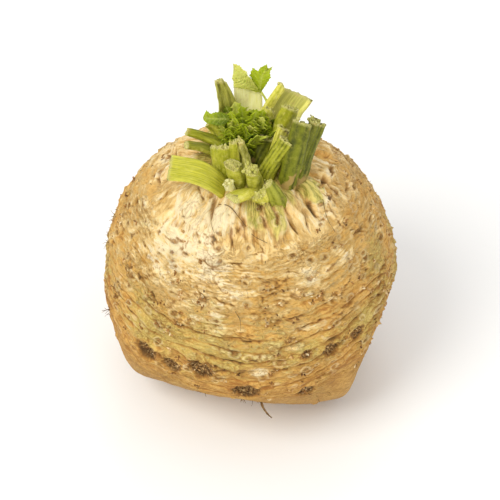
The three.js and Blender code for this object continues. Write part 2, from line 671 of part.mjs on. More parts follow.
// Short broken side roots, spread over the ringed part of the bulb.
function rootStubs() {
  const random = seededRandom(SEED);
  const golden = Math.PI * (3 - Math.sqrt(5));
  const made = [];
  for (let i = 0; i < STUB_COUNT; i++) {
    const azimuth = i * golden + (random() - 0.5) * 0.5;
    const q = RING_FIRST + 0.04 + 0.58 * ((i + random()) / STUB_COUNT);
    const radius = 1.3 + 1.5 * random() ** 2;
    const length = 0.5 + 0.9 * random();
    const lean = (random() - 0.5) * 0.9;
    const foot = skinPoint(azimuth, q, -1, -STUB_SUNK);
    const away = skinPoint(azimuth + 0.02 * lean, q, -1, length);
    away.z -= 0.5;
    const route = [foot.toArray(), away.toArray()];
    made.push(taperedTube({ route, radius, sides: STUB_SIDES, tip: 0.55, steps: 1 }));
  }
  return made;
}

// The young leaves in the middle of the crown, round a small core.
function heartSolid() {
  const random = seededRandom(SEED + 1);
  const [x, y] = HEART_CENTRE;
  const core = taperedTube({
    route: [[x, y, HEART_FOOT], [x, y, HEART_TOP]],
    radius: HEART_RADIUS,
    sides: 8,
    tip: 0.55,
    steps: 2,
  });
  let heart = solidOf(core);
  for (let i = 0; i < HEART_LEAFLETS; i++) {
    const turn = i * Math.PI * (3 - Math.sqrt(5)) + 0.6;
    const spread = 0.15 + 0.85 * Math.sqrt((i + 0.5) / HEART_LEAFLETS);
    const way = new THREE.Vector3(Math.cos(turn), Math.sin(turn), 0);
    const base = new THREE.Vector3(x, y, 120 - 7 * spread).addScaledVector(way, 1 + 2.6 * spread);
    const lean = 0.25 + 1.05 * spread * (0.8 + 0.4 * random());
    const along = way.clone().multiplyScalar(lean).add(new THREE.Vector3(0, 0, 1));
    const across = [-way.y, way.x, 0.8 * (random() - 0.5)];
    const size = 9.5 + 3.5 * random();
    const placed = { base: base.toArray(), along: along.toArray(), across, size };
    heart = heart.add(solidOf(bladeGeometry({ ...placed, arch: -1.3, fold: 0.3, rows: HEART_ROWS })));
  }
  return heart;
}

const part = new THREE.Group();

let bulb = solidOf(bulbGeometry());
for (const geometry of [...rootStubs(), ...ROOTLETS.map((rootlet) => taperedTube(rootlet))]) {
  bulb = bulb.add(solidOf(geometry));
}
part.add(meshOf("root_bulb", bulb, COLOURS.bulb));

// Each piece on the crown gives way to the bulb and to the pieces made before it, with a small gap.
const taken = [solidOf(bulbGeometry(CLEARANCE))];
for (const stalk of STALKS) {
  let solid = solidOf(stalkGeometry(stalk));
  for (const other of taken) solid = solid.subtract(other);
  taken.push(solidOf(stalkGeometry(stalk, CLEARANCE)));
  part.add(meshOf(stalk.name, largestBody(solid), COLOURS[stalk.look]));
}

const leaves = {
  leaf_top: [taperedTube(TOP_LEAF_STEM), ...TOP_LEAFLETS.map((blade) => bladeGeometry(blade))],
  leaf_left: [taperedTube(LEFT_LEAF_STEM), ...LEFT_LEAFLETS.map((blade) => bladeGeometry(blade))],
};
for (const [name, pieces] of Object.entries(leaves)) {
  let solid = pieces.map(solidOf).reduce((all, piece) => all.add(piece));
  for (const other of taken) solid = solid.subtract(other);
  part.add(meshOf(name, largestBody(solid), COLOURS.leaf));
  taken.push(...pieces.map(solidOf));
}

let heart = heartSolid();
for (const other of taken) heart = heart.subtract(other);
part.add(meshOf("leaf_heart", largestBody(heart), COLOURS.leaf));

export default part;
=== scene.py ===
"""A celeriac root on a pale floor: ringed and pitted skin, cut petioles, young leaves, rootlets and hairs.

The tables are in millimetres and degrees, in the part's frame: +Z up, the front is -Y, and the origin is
the middle of the flat spot that the bulb rests on. Azimuth 0 is +X and -90 the front. Elevation is above
the middle of the bulb.
"""

import itertools
import math

import bpy
import numpy as np
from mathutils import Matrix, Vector


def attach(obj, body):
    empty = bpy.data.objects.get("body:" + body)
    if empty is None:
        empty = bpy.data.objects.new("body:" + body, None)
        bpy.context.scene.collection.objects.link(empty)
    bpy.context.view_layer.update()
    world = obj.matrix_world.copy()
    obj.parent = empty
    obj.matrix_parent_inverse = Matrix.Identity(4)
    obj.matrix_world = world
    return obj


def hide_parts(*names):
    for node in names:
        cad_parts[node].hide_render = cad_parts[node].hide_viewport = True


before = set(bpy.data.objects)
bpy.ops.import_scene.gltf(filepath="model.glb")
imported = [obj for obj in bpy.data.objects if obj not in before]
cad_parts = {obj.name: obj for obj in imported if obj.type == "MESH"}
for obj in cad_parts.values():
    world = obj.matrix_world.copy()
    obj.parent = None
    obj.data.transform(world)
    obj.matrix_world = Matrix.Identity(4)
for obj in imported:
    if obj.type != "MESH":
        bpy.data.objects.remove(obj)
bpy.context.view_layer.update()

MM = 0.001
GOLDEN = math.pi * (3 - math.sqrt(5))

# The bulb's large form, the same as the solid's: azimuth, elevation, height, spread.
BALL_RADIUS = 60.0
CENTRE_HEIGHT = 49.0
LOBES = [
    (-150, -29, 4.6, 16), (-173, -8, 1.8, 8), (-41, -35, 8.0, 18), (-4, -2, 0.8, 20), (150, 32, 1.0, 38),
    (35, 42, 1.0, 24), (-90, 84, 1.5, 26), (-82, 4, 1.6, 30), (100, -18, 2.6, 26), (62, -12, -2.4, 18),
    (168, -2, -1.6, 18),
]

# Flat places that a knife left: azimuth, elevation, distance from the bulb's middle.
CUTS = [(-107, -46, 53.7), (-80, -46, 58.8), (-16, -16, 57.8), (132, -50, 53.5), (40, -52, 54.5)]
CUT_ROUNDING = 1.6

# Rings, counted along q, the share of the way from the crown to the edge of the flat spot.
RING_FIRST = 0.27
RING_LAST = 0.78
RING_COUNT = 16
RING_HEIGHT = 0.52
RING_WANDER = 0.2
LUMP_HEIGHT = 0.5

# Petiole bases that lie on the shoulder as scales: azimuth, half width, height, start and reach in q.
FOLDS = [
    (-143, 13, 3.0, 0.1, 0.258), (-110, 10, 2.2, 0.1, 0.25), (-89, 8.5, 2.0, 0.09, 0.24),
    (-70, 8.5, 2.4, 0.09, 0.255), (-52, 8.5, 2.0, 0.09, 0.24), (-28, 11, 2.6, 0.09, 0.262),
    (1, 11, 2.0, 0.09, 0.25), (30, 12, 2.4, 0.09, 0.26), (61, 11, 2.0, 0.09, 0.24),
    (90, 12, 2.6, 0.09, 0.258), (119, 11, 2.1, 0.09, 0.245), (148, 12, 2.4, 0.09, 0.258),
    (178, 11, 2.0, 0.09, 0.245),
]

# Root scars: azimuth, elevation, radius, depth.
SCARS = [
    (-134, -4, 6.0, 1.8), (-121.5, -5, 5.0, 1.6), (-109, -1, 6.0, 1.6), (-91.5, -10, 6.0, 1.6),
    (-68, -15.5, 4.5, 1.1), (-68.5, 6, 3.0, 0.9), (-58, 4, 4.2, 1.2), (-45, 4.5, 4.2, 1.2),
    (5, -15, 5.0, 1.3), (60, -12, 6.0, 1.5), (84, 6, 4.0, 1.0), (112, -8, 6.5, 1.6), (158, -14, 5.5, 1.4),
    (-168, -20, 4.5, 1.2),
]

# Broken side roots, spread by the golden angle.
STUB_COUNT = 34
SEED = 7

# Cream patches where the outer skin has gone: azimuth, elevation, radius, strength.
CREAM_PATCHES = [
    (-143, 50, 8, 0.6), (-136, 42, 8, 0.5), (-130, 31, 6, 0.4), (-115, 43, 8, 0.5), (-148, 38, 5, 0.35),
    (-122, 56, 13, 0.8), (-106, 34, 9, 0.55), (-105, 18, 6, 0.8), (-82, 55, 8, 0.4), (-46, 53, 9, 0.5),
    (-53, 30, 7, 0.5), (-90, 43, 10, 0.25), (-127, 44, 7, 0.6), (-63, 35, 6, 0.6), (-94, 31, 6, 0.35),
    (-137, 35, 4, 0.6), (-121, 26, 5, 0.5), (-70, 19, 5, 0.4), (-39, 36, 6, 0.5), (-109, 66, 6, 0.5),
    (-144, 0, 9, 0.45), (-43, 10, 8, 0.35), (-161, 34, 9, 0.3), (-90, 17, 8, -0.3), (-75, -17, 10, -0.4),
    (-24, 22, 5, 0.5), (140, 46, 11, 0.6), (75, 40, 12, 0.6), (20, 30, 9, 0.5), (100, 22, 9, 0.5),
]

# Green tints: azimuth, elevation, radius, strength.
GREEN_PATCHES = [
    (-41, 10, 6, 0.5), (-67, 8, 5, 0.4), (-133, 12, 12, 0.45), (-20, 27, 9, 0.45), (-38, 2, 9, 0.35),
    (-109, 10, 11, 0.35), (-94, 7, 9, 0.3), (60, 14, 14, 0.4), (130, 8, 15, 0.45), (10, 6, 12, 0.3),
]

# Small marks: kind, azimuth, elevation, radius. A knot is a broken side root with crumbs round it.
MARKS = [
    ("cluster", -152, 25.5, 3.2), ("oval", -143.5, 26, 2.3), ("pit", -172, 14, 1.4),
    ("pit", -164, 25, 1.4), ("pit", -170, 21, 1.4), ("cluster", -155, 7.5, 2.6),
    ("cluster", -134, 21.6, 3.0), ("ring", -124, 23.5, 2.3), ("ring", -138, 35, 1.8),
    ("ring", -128, 37.5, 1.8), ("oval", -125, 43, 2.2), ("knot", -120, 28.4, 2.1),
    ("cluster", -111.5, 29.6, 2.8), ("knot", -119.6, 17.2, 1.8), ("knot", -122, 12, 1.7),
    ("knot", -127.5, 12.7, 2.1), ("knot", -103, 0.6, 2.8), ("sliver", -111.4, 22, 2.6),
    ("sliver", -103.6, 24.6, 2.6), ("sliver", -73, 10.7, 3.6), ("sliver", -85, 8.3, 3.4),
    ("sliver", -66, 17.3, 2.8), ("knot", -81.3, 35.5, 3.3), ("knot", -68, 31, 2.5),
    ("knot", -60, 28.5, 2.1), ("knot", -77, 29.3, 1.7), ("ring", -54, 23.6, 2.1), ("knot", -51, 26, 2.1),
    ("knot", -71.3, 22.5, 2.2), ("knot", -82.7, 23.4, 3.3), ("pit", -61.3, 19, 1.9),
    ("knot", -74.7, 14.2, 1.7), ("pit", -91, 14.4, 1.9), ("pit", -68.6, 6, 2.0), ("pit", -77, 3.6, 1.5),
    ("cluster", -25, 12, 2.4), ("paleoval", -86.7, 1.1, 5.6),
]

# Gashes along the rings: azimuth, elevation, half length, half width.
GASHES = [
    (146, 51, 5, 1.3), (172, 50, 4.5, 1.4), (-179, 53, 3.5, 1.1), (171, 27, 3.0, 1.2), (159, 54, 5, 1.2),
    (-14, 61, 4.5, 1.4), (-25, 56.5, 2.4, 0.8), (6, 33, 5, 1.4), (3, 46, 4, 1.4), (-20, 38, 2.4, 0.9),
    (1, 59, 3, 1.6), (-4, 50, 4, 1.2), (40, 44, 5, 1.3), (70, 36, 4, 1.2), (105, 52, 5, 1.3),
    (125, 34, 4, 1.1),
]

# Slits between the petiole bases: azimuth and elevation of the top, then of the bottom, and width.
SLITS = [
    (-70.4, 70.5, -69.6, 57, 0.9), (-80.5, 63.4, -78, 57, 0.8), (-62.5, 60, -59.6, 52.5, 0.9),
    (-38.6, 62, -43, 54, 0.9), (-127, 68.5, -117.2, 58, 1.5), (-148, 67, -130, 63.7, 1.3),
    (-24.5, 58.6, -27, 55, 1.0), (-104, 58, -99, 50, 0.8), (-49, 60, -52, 51, 0.8), (-95, 62, -93, 54, 0.7),
    (-10, 62, -14, 53, 1.1), (12, 62, 15, 53, 0.9), (45, 62, 42, 54, 1.1), (76, 62, 73, 53, 0.9),
    (104, 62, 108, 53, 1.0), (134, 61, 131, 53, 1.1), (163, 62, 160, 54, 0.9),
]

# Where green runs down from the crown onto the skin: azimuth, spread, the elevation that it reaches.
GREEN_FANS = [
    (-87, 8, 54), (-71, 9, 51), (-33, 9, 54), (-52, 6, 61), (-140, 6, 66), (-24, 5, 56), (20, 9, 60),
    (80, 9, 60), (130, 9, 60),
]

# How cream the skin is at each elevation, before streaks and patches.
CREAM_ELEVATIONS = [-30, -10, 0, 10, 20, 30, 42, 55, 75]
CREAM_LEVELS = [-0.75, -0.65, -0.6, -0.5, -0.32, -0.18, 0.0, 0.14, 0.14]

# Marks that no table above places, spread by seeded draws. STRAY_HEIGHTS is in shares of the bulb's radius.
FLAKE_COUNT = 760
FLAKE_ELEVATIONS = (-2, 58)
STRAY_MARKS = 430
STRAY_HEIGHTS = (-0.34, 0.8)
STRAY_KINDS = ["pit", "pit", "knot", "ring", "sliver", "speck", "speck"]
STRAY_GASHES = 46
GASH_AZIMUTHS = [170, 0, 70, 120]
STRAY_CRUMBS = 170

# The grid of the skin: columns round it, and rows in the crown, the shoulder, the rings and the underside.
GRID_COLUMNS = 400
GRID_ROWS = (7, 47, 145, 41)
SHOULDER_START = -5.9

# Radius of the cylinder that the petiole bases' grain is laid out on.
FAN_RADIUS = 26


def seeded_random(seed):
    """Repeatable random numbers from 0 to 1, the same as the solid's."""
    state = seed
    while True:
        state = (state + 0x6D2B79F5) & 0xFFFFFFFF
        mixed = ((state ^ (state >> 15)) * (1 | state)) & 0xFFFFFFFF
        mixed = ((mixed + ((mixed ^ (mixed >> 7)) * (61 | mixed))) & 0xFFFFFFFF) ^ mixed
        yield (mixed ^ (mixed >> 14)) / 4294967296


def smoothstep(low, high, value):
    """An eased rise from 0 at low to 1 at high."""
    t = np.clip((np.asarray(value, float) - low) / (high - low), 0, 1)
    return t * t * (3 - 2 * t)


def bump(value, middle, spread):
    """A bell curve: 1 at the middle, falling off over the spread."""
    return np.exp(-(((value - middle) / spread) ** 2))


def towards(azimuth, elevation):
    """Unit vector for an azimuth and an elevation in degrees."""
    a = math.radians(azimuth)
    e = math.radians(elevation)
    return np.array([math.cos(e) * math.cos(a), math.cos(e) * math.sin(a), math.sin(e)])


def unit(vector):
    vector = np.asarray(vector, float)
    return vector / np.linalg.norm(vector, axis=-1, keepdims=True)


def turned(azimuth, middle):
    """How far an azimuth is from a middle one, from -180 to 180."""
    return np.mod(azimuth - middle + 180, 360) - 180


def even_elevation(rng, low, high):
    """An elevation drawn evenly over the ball between two heights, in shares of its radius."""
    return math.degrees(math.asin(rng.uniform(low, high)))


def lattice_noise(points, seed):
    """Gradient noise at an array of points, about -1 to 1."""
    rng = np.random.default_rng(seed)
    order = rng.permutation(256)
    slopes = unit(rng.normal(size=(256, 3)))
    cell = np.floor(points).astype(int)
    part = points - cell
    ease = part**3 * (part * (part * 6 - 15) + 10)
    total = np.zeros(len(points))
    for corner in itertools.product((0, 1), repeat=3):
        at = cell + corner
        first = order[(at[:, 0]) & 255]
        second = order[(first + at[:, 1]) & 255]
        slope = slopes[order[(second + at[:, 2]) & 255]]
        weight = np.prod(np.where(corner, ease, 1 - ease), axis=1)
        total += weight * np.sum(slope * (part - corner), axis=1)
    return 1.8 * total


def noise(points, seed, octaves=1, gain=0.5):
    """Gradient noise with finer octaves laid over it."""
    total = np.zeros(len(points))
    for octave in range(octaves):
        total += gain**octave * lattice_noise(points * 2.0**octave, seed + 31 * octave)
    return total


def make_piece(name, points, faces, material, replaced=(), numbers=None, vectors=None):
    """A mesh piece from points in millimetres, with numbers and vectors per point for its material."""
    mesh = bpy.data.meshes.new(name)
    mesh.from_pydata((np.asarray(points) * MM).tolist(), [], faces)
    for key, values in (numbers or {}).items():
        mesh.attributes.new(key, "FLOAT", "POINT").data.foreach_set("value", np.asarray(values, np.float32))
    for key, values in (vectors or {}).items():
        flat = np.asarray(values, np.float32).ravel()
        mesh.attributes.new(key, "FLOAT_VECTOR", "POINT").data.foreach_set("vector", flat)
    mesh.polygons.foreach_set("use_smooth", np.ones(len(mesh.polygons), bool))
    mesh.materials.append(material)
    mesh.update()
    piece = bpy.data.objects.new(name, mesh)
    bpy.context.scene.collection.objects.link(piece)
    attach(piece, "root")
    if replaced:
        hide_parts(*replaced)
    return piece


class Build:
    """Gathers several closed forms into one mesh."""

    def __init__(self):
        self.points = []
        self.faces = []
        self.numbers = {}
        self.vectors = {}
        self.count = 0

    def add(self, points, faces, numbers=None, vectors=None):
        points = np.asarray(points, float)
        self.points.append(points)
        self.faces += [[i + self.count for i in face] for face in faces]
        for key, value in (numbers or {}).items():
            self.numbers.setdefault(key, []).append(np.broadcast_to(value, len(points)))
        for key, value in (vectors or {}).items():
            self.vectors.setdefault(key, []).append(value)
        self.count += len(points)

    def piece(self, name, slot, material, replaced=()):
        numbers = {key: np.concatenate(value) for key, value in self.numbers.items()}
        vectors = {key: np.concatenate(value) for key, value in self.vectors.items()}
        points = np.concatenate(self.points)
        return make_piece(name, points, self.faces, material, replaced, numbers, vectors)


# Material helpers


class Shader:
    """A node material in the making."""

    def __init__(self, name):
        self.material = bpy.data.materials.new(name)
        self.material.use_nodes = True
        self.tree = self.material.node_tree
        self.surface = self.tree.nodes["Principled BSDF"]

    def node(self, kind, inputs=None, **settings):
        made = self.tree.nodes.new(kind)
        for key, value in settings.items():
            setattr(made, key, value)
        for key, value in (inputs or {}).items():
            self.feed(made.inputs[key], value)
        return made

    def feed(self, socket, value):
        if isinstance(value, bpy.types.NodeSocket):
            self.tree.links.new(value, socket)
        else:
            socket.default_value = value

    def read(self, name):
        return self.node("ShaderNodeAttribute", attribute_name=name).outputs["Fac"]

    def read_vector(self, name):
        return self.node("ShaderNodeAttribute", attribute_name=name).outputs["Vector"]

    def maths(self, operation, *values):
        return self.node("ShaderNodeMath", dict(enumerate(values)), operation=operation).outputs[0]

    def add(self, first, *others):
        total = first
        for other in others:
            total = self.maths("ADD", total, other)
        return total

    def times(self, a, b):
        return self.maths("MULTIPLY", a, b)

    def scaled(self, vector, scale):
        inputs = {0: vector, 1: scale}
        return self.node("ShaderNodeVectorMath", inputs, operation="MULTIPLY").outputs[0]

    def noise(self, vector, scale=1.0, detail=4.0, roughness=0.55, distortion=0.0):
        inputs = {
            "Vector": vector, "Scale": scale, "Detail": detail, "Roughness": roughness,
            "Distortion": distortion,
        }
        return self.node("ShaderNodeTexNoise", inputs).outputs["Fac"]

    def eyes(self, vector, scale, ragged):
        """Scattered round marks: the distance from a mark's middle in its radii, and that radius."""
        made = self.node("ShaderNodeTexVoronoi", {"Vector": vector, "Scale": scale})
        chance = self.node("ShaderNodeSeparateColor", {"Color": made.outputs["Color"]}).outputs["Red"]
        radius = self.ramp(chance, 0.25, 1.0, 0.0, 0.36)
        distance = self.add(made.outputs["Distance"], ragged)
        return self.maths("DIVIDE", distance, self.maths("MAXIMUM", radius, 0.01)), radius

    def ramp(self, value, low, high, start=0.0, end=1.0, linear=False):
        inputs = {"Value": value, "From Min": low, "From Max": high, "To Min": start, "To Max": end}
        kind = "LINEAR" if linear else "SMOOTHSTEP"
        return self.node("ShaderNodeMapRange", inputs, interpolation_type=kind).outputs[0]

    def between(self, share, a, b):
        made = self.node("ShaderNodeMix", data_type="FLOAT")
        self.feed(made.inputs[0], share)
        self.feed(made.inputs[2], a)
        self.feed(made.inputs[3], b)
        return made.outputs[0]

    def bands(self, value, stops):
        """Colours that follow a value from 0 to 1."""
        made = self.node("ShaderNodeValToRGB", {"Fac": value})
        ramp = made.color_ramp
        while len(ramp.elements) < len(stops):
            ramp.elements.new(0.5)
        for element, (at, text) in zip(ramp.elements, stops):
            element.position = at
            element.color = colour(text)
        return made.outputs["Color"]

    def centred(self, value, amount):
        """The noise value 0 to 1 turned into -amount/2 to amount/2."""
        return self.maths("MULTIPLY_ADD", value, amount, -amount / 2)

    def mix(self, share, a, b):
        made = self.node("ShaderNodeMix", data_type="RGBA")
        self.feed(made.inputs[0], share)
        self.feed(made.inputs[6], colour(a) if isinstance(a, str) else a)
        self.feed(made.inputs[7], colour(b) if isinstance(b, str) else b)
        return made.outputs[2]

    def bump(self, height, distance, strength=1.0):
        inputs = {"Height": height, "Distance": distance, "Strength": strength}
        return self.node("ShaderNodeBump", inputs).outputs["Normal"]

    def finish(self, base, roughness, normal, subsurface=0.0, radius=(1.0, 0.6, 0.25), gloss=0.35):
        self.feed(self.surface.inputs["Base Color"], base)
        self.feed(self.surface.inputs["Roughness"], roughness)
        self.feed(self.surface.inputs["Normal"], normal)
        self.surface.inputs["Specular IOR Level"].default_value = gloss
        self.surface.inputs["Subsurface Weight"].default_value = subsurface
        self.surface.inputs["Subsurface Radius"].default_value = radius
        self.surface.inputs["Subsurface Scale"].default_value = 0.0012
        return self.material


def colour(text):
    """A linear colour from six hex digits."""
    parts = [int(text[i : i + 2], 16) / 255 for i in (0, 2, 4)]
    linear = [c / 12.92 if c <= 0.04045 else ((c + 0.055) / 1.055) ** 2.4 for c in parts]
    return (*linear, 1.0)


def skin_material():
    """Ochre skin with cream patches, brown creases, green tints and dark scars; the underside is painted
    darker as shade, and the dark field also holds painted shade under the raised edges of scales and
    flakes.
    """
    s = Shader("celeriac_skin")
    flow = s.read_vector("flow")
    fan = s.read_vector("fan")
    place = s.node("ShaderNodeTexCoord").outputs["Object"]
    upper = s.read("upper")

    def drawn_out(along, across, detail, roughness):
        ringed = s.noise(s.scaled(flow, (1 / along, 1 / along, 1 / across)), 1.0, detail, roughness, 0.7)
        shrunk = s.scaled(fan, (1.2 / across, 1.2 / across, 0.5 / along))
        return s.between(upper, ringed, s.noise(shrunk, 1.0, detail, roughness, 0.4))

    streak = drawn_out(4.0, 1.3, 6.0, 0.65)
    fine = drawn_out(1.3, 0.55, 5.0, 0.62)
    web = drawn_out(3.4, 1.5, 3.0, 0.55)
    grain = s.noise(place, 2400.0, 3.0, 0.6)
    broad = s.noise(place, 70.0, 3.0, 0.5)
    pores = s.ramp(s.noise(place, 750.0, 2.0, 0.5), 0.64, 0.74)

    crease = s.ramp(s.maths("ABSOLUTE", s.maths("SUBTRACT", web, 0.5)), 0.045, 0.0)
    calm = s.ramp(upper, 0.0, 1.0, 1.0, 0.6)
    crease = s.times(s.times(crease, s.ramp(broad, 0.38, 0.6)), calm)
    away, radius = s.eyes(s.scaled(place, (1, 1, 1.5)), 170.0, s.centred(streak, 0.34))
    shown = s.times(s.ramp(radius, 0.04, 0.1), s.ramp(s.read("under"), 0.3, 0.0))
    eye = s.times(s.ramp(away, 0.8, 0.45), shown)
    eye_rim = s.times(s.ramp(s.maths("ABSOLUTE", s.maths("SUBTRACT", away, 1.15)), 0.4, 0.05), shown)
    weave = s.noise(s.scaled(place, (1, 1, 1.7)), 430.0, 3.0, 0.6, 2.6)
    level = s.add(
        s.read("cream"), s.times(s.centred(streak, 1.6), s.ramp(upper, 0.0, 1.0, 1.0, 1.7)),
        s.times(s.centred(fine, 1.8), calm), s.centred(grain, 0.5), s.centred(broad, 0.6),
    )
    skin = s.bands(
        s.ramp(level, -1.1, 0.85, linear=True),
        [
            (0.0, "ab7432"), (0.2, "cb994a"), (0.42, "e2b462"), (0.6, "eec67c"), (0.78, "f3d390"),
            (1.0, "fbe8bc"),
        ],
    )
    green = s.ramp(s.add(s.read("green"), s.centred(streak, 1.7), s.centred(broad, 0.9)), -0.05, 0.6)
    green_tint = s.mix(s.ramp(fine, 0.3, 0.7), "a8983c", "e0d67e")
    skin = s.mix(s.times(green, 0.55), skin, green_tint)
    # Painted shade: the underside is mixed towards a darker tint.
    underside_painted_shade = s.mix(s.ramp(fine, 0.3, 0.7), "a57c3e", "cba25c")
    skin = s.mix(s.times(s.read("under"), 0.7), skin, underside_painted_shade)
    stem = s.ramp(s.add(s.read("stem"), s.centred(streak, 0.9), s.centred(fine, 0.5)), 0.25, 0.7)
    leafy = s.mix(s.ramp(s.add(streak, s.centred(fine, 0.5)), 0.36, 0.62), "8f8c26", "dcca68")
    skin = s.mix(s.times(stem, 0.9), skin, leafy)
    skin = s.mix(s.times(crease, 0.62), skin, "ad7837")
    skin = s.mix(s.times(pores, 0.4), skin, "a87a3e")
    skin = s.mix(s.times(eye_rim, 0.45), skin, "f4dda6")
    skin = s.mix(s.times(eye, 0.8), skin, s.mix(s.ramp(weave, 0.4, 0.6), "74491f", "b98848"))
    dark = s.ramp(s.add(s.read("dark"), s.centred(fine, 1.2), s.centred(grain, 0.4)), 0.12, 1.0)
    deep = s.mix(s.ramp(s.read("dark"), 0.75, 1.5), "a2702f", "553a1b")
    skin = s.mix(s.times(dark, 0.85), skin, deep)
    scar = s.ramp(s.add(s.read("scar"), s.centred(weave, 0.7)), 0.3, 0.65)
    woven = s.bands(
        s.ramp(weave, 0.38, 0.62, linear=True),
        [(0.0, "38240f"), (0.35, "6f4a20"), (0.6, "a67a40"), (1.0, "dcb87c")],
    )
    skin = s.mix(s.times(scar, 0.85), skin, woven)
    crumb = s.ramp(s.add(s.read("crumb"), s.centred(fine, 0.8)), 0.3, 0.8)
    skin = s.mix(s.times(crumb, 0.75), skin, s.mix(s.ramp(fine, 0.35, 0.65), "b98c50", "ecd6a6"))

    relief = s.add(
        s.times(streak, 1.1), s.times(fine, 0.9), s.times(grain, 0.3), s.times(crease, -0.35),
        s.times(pores, -0.3), s.times(dark, -0.35), s.times(s.ramp(level, -0.2, 0.2), 0.3),
        s.times(eye_rim, 0.3), s.times(eye, -0.5), s.times(s.times(scar, weave), 2.2),
    )
    roughness = s.ramp(level, -0.4, 0.5, 0.7, 0.52)
    return s.finish(skin, roughness, s.bump(relief, 0.0009, 0.9), 0.02)


def petiole_material(name, tint, bright, deep, pale):
    """Petiole skin: streaked along its length, paler at the base and at the cut, with painted light on the
    rib crests and painted shade in the grooves between them.
    """
    s = Shader(name)
    grain = s.read_vector("grain")
    along = s.read("along")
    lines = s.noise(s.scaled(grain, (2.2, 1.0, 0.1)), 1.0, 3.0, 0.55, 0.05)
    patches = s.noise(s.scaled(grain, (0.3, 0.3, 0.14)), 1.0, 4.0, 0.6)
    specks = s.noise(s.scaled(grain, (3.0, 1.0, 1.6)), 1.0, 4.0, 0.65)
    mottle = s.noise(s.scaled(grain, (0.9, 0.9, 0.55)), 1.0, 5.0, 0.68, 0.6)
    rib = s.read("rib")
    body = s.mix(s.ramp(lines, 0.25, 0.48, 0.8, 1.0), deep, tint)
    # Painted light: the bright tint follows the rib crests.
    body = s.mix(s.times(s.ramp(s.add(rib, s.centred(lines, 0.45)), 0.3, 1.0), 0.75), body, bright)
    body = s.mix(s.ramp(patches, 0.42, 0.7, 0.0, 0.55), body, bright)
    body = s.mix(s.ramp(patches, 0.5, 0.28, 0.0, 0.6), body, deep)
    # Painted shade: the deep tint fills the grooves between the ribs.
    body = s.mix(s.ramp(rib, 0.4, 0.05, 0.0, 0.45), body, deep)
    body = s.mix(s.ramp(mottle, 0.5, 0.66, 0.0, 0.4), body, pale)
    body = s.mix(s.ramp(mottle, 0.48, 0.34, 0.0, 0.45), body, deep)
    inner = s.mix(s.ramp(lines, 0.3, 0.7), deep, tint)
    inner = s.mix(s.ramp(rib, 0.6, 0.9), inner, bright)
    body = s.mix(s.times(s.read("inner"), 0.75), body, inner)
    foot = s.ramp(s.add(along, s.centred(lines, 0.3)), 0.3, 0.02)
    body = s.mix(s.times(foot, 0.75), body, s.mix(s.ramp(lines, 0.35, 0.65), bright, pale))
    body = s.mix(s.ramp(specks, 0.62, 0.78, 0.0, 0.55), body, "8b7a34")
    torn = s.ramp(s.add(s.read("torn"), s.centred(specks, 0.7)), 0.3, 0.8)
    body = s.mix(s.times(torn, 0.7), body, "b08f55")
    cut = s.mix(s.ramp(specks, 0.35, 0.62), "a3a040", "dbd48f")
    cut = s.mix(s.ramp(specks, 0.56, 0.68, 0.0, 0.85), cut, "8d6c38")
    base = s.mix(s.times(s.read("cut"), 0.85), body, cut)
    relief = s.add(s.times(lines, 0.45), s.times(specks, 0.5))
    return s.finish(base, 0.52, s.bump(relief, 0.0003, 0.35), 0.1, (0.8, 0.9, 0.3), 0.2)


def leaf_material():
    """Leaf blades: dark green to yellow green by tone, with paler veins."""
    s = Shader("celeriac_leaf")
    place = s.node("ShaderNodeTexCoord").outputs["Object"]
    fine = s.noise(place, 900.0, 4.0, 0.6)
    broad = s.noise(place, 190.0, 2.0, 0.5)
    tone = s.add(s.read("tone"), s.centred(fine, 0.35), s.centred(broad, 0.6))
    base = s.mix(s.ramp(tone, 0.0, 0.5), "586a08", "9fac1a")
    base = s.mix(s.ramp(tone, 0.55, 1.0), base, "cfce68")
    base = s.mix(s.times(s.read("vein"), 0.4), base, "cdd070")
    relief = s.add(s.times(fine, 0.5), s.times(s.read("vein"), 0.8))
    return s.finish(base, 0.5, s.bump(relief, 0.0003, 0.6), 0.2, (0.7, 1.0, 0.25), 0.22)


def fibre_material(name, light, dark):
    """Brown fibres and hairs, from a dark to a light tint."""
    s = Shader(name)
    place = s.node("ShaderNodeTexCoord").outputs["Object"]
    fine = s.noise(place, 700.0, 3.0, 0.6)
    return s.finish(s.mix(s.ramp(fine, 0.35, 0.65), light, dark), 0.7, s.bump(fine, 0.0002, 0.4))


# Bulb


def plain_radius(way):
    """Distance from the bulb's middle to its skin without relief, for an array of unit vectors."""
    radius = np.full(len(way), BALL_RADIUS)
    for azimuth, elevation, height, spread in LOBES:
        angle = np.arccos(np.clip(way @ towards(azimuth, elevation), -1, 1))
        radius += height * np.exp(-((angle / math.radians(spread)) ** 2))
    for azimuth, elevation, depth in CUTS:
        facing = way @ towards(azimuth, elevation)
        flat = depth / np.maximum(facing, 0.3)
        k = CUT_ROUNDING
        rounded = np.minimum(radius, flat) - k * np.log1p(np.exp(-np.abs(radius - flat) / k))
        radius = np.where(facing > 0.3, rounded, radius)
    return radius


def direction(azimuth, polar):
    """Unit vectors for arrays of azimuths and angles from +Z, in radians."""
    level = np.sin(polar)
    return np.stack([level * np.cos(azimuth), level * np.sin(azimuth), np.cos(polar)], axis=-1)


def foot_polar(azimuth):
    """The angle from +Z at which the skin meets the floor."""
    low = np.full(len(azimuth), math.pi / 2)
    high = np.full(len(azimuth), math.pi)
    for _ in range(30):
        middle = (low + high) / 2
        drop = -np.cos(middle) * plain_radius(direction(azimuth, middle))
        inside = drop < CENTRE_HEIGHT
        low = np.where(inside, middle, low)
        high = np.where(inside, high, middle)
    return (low + high) / 2


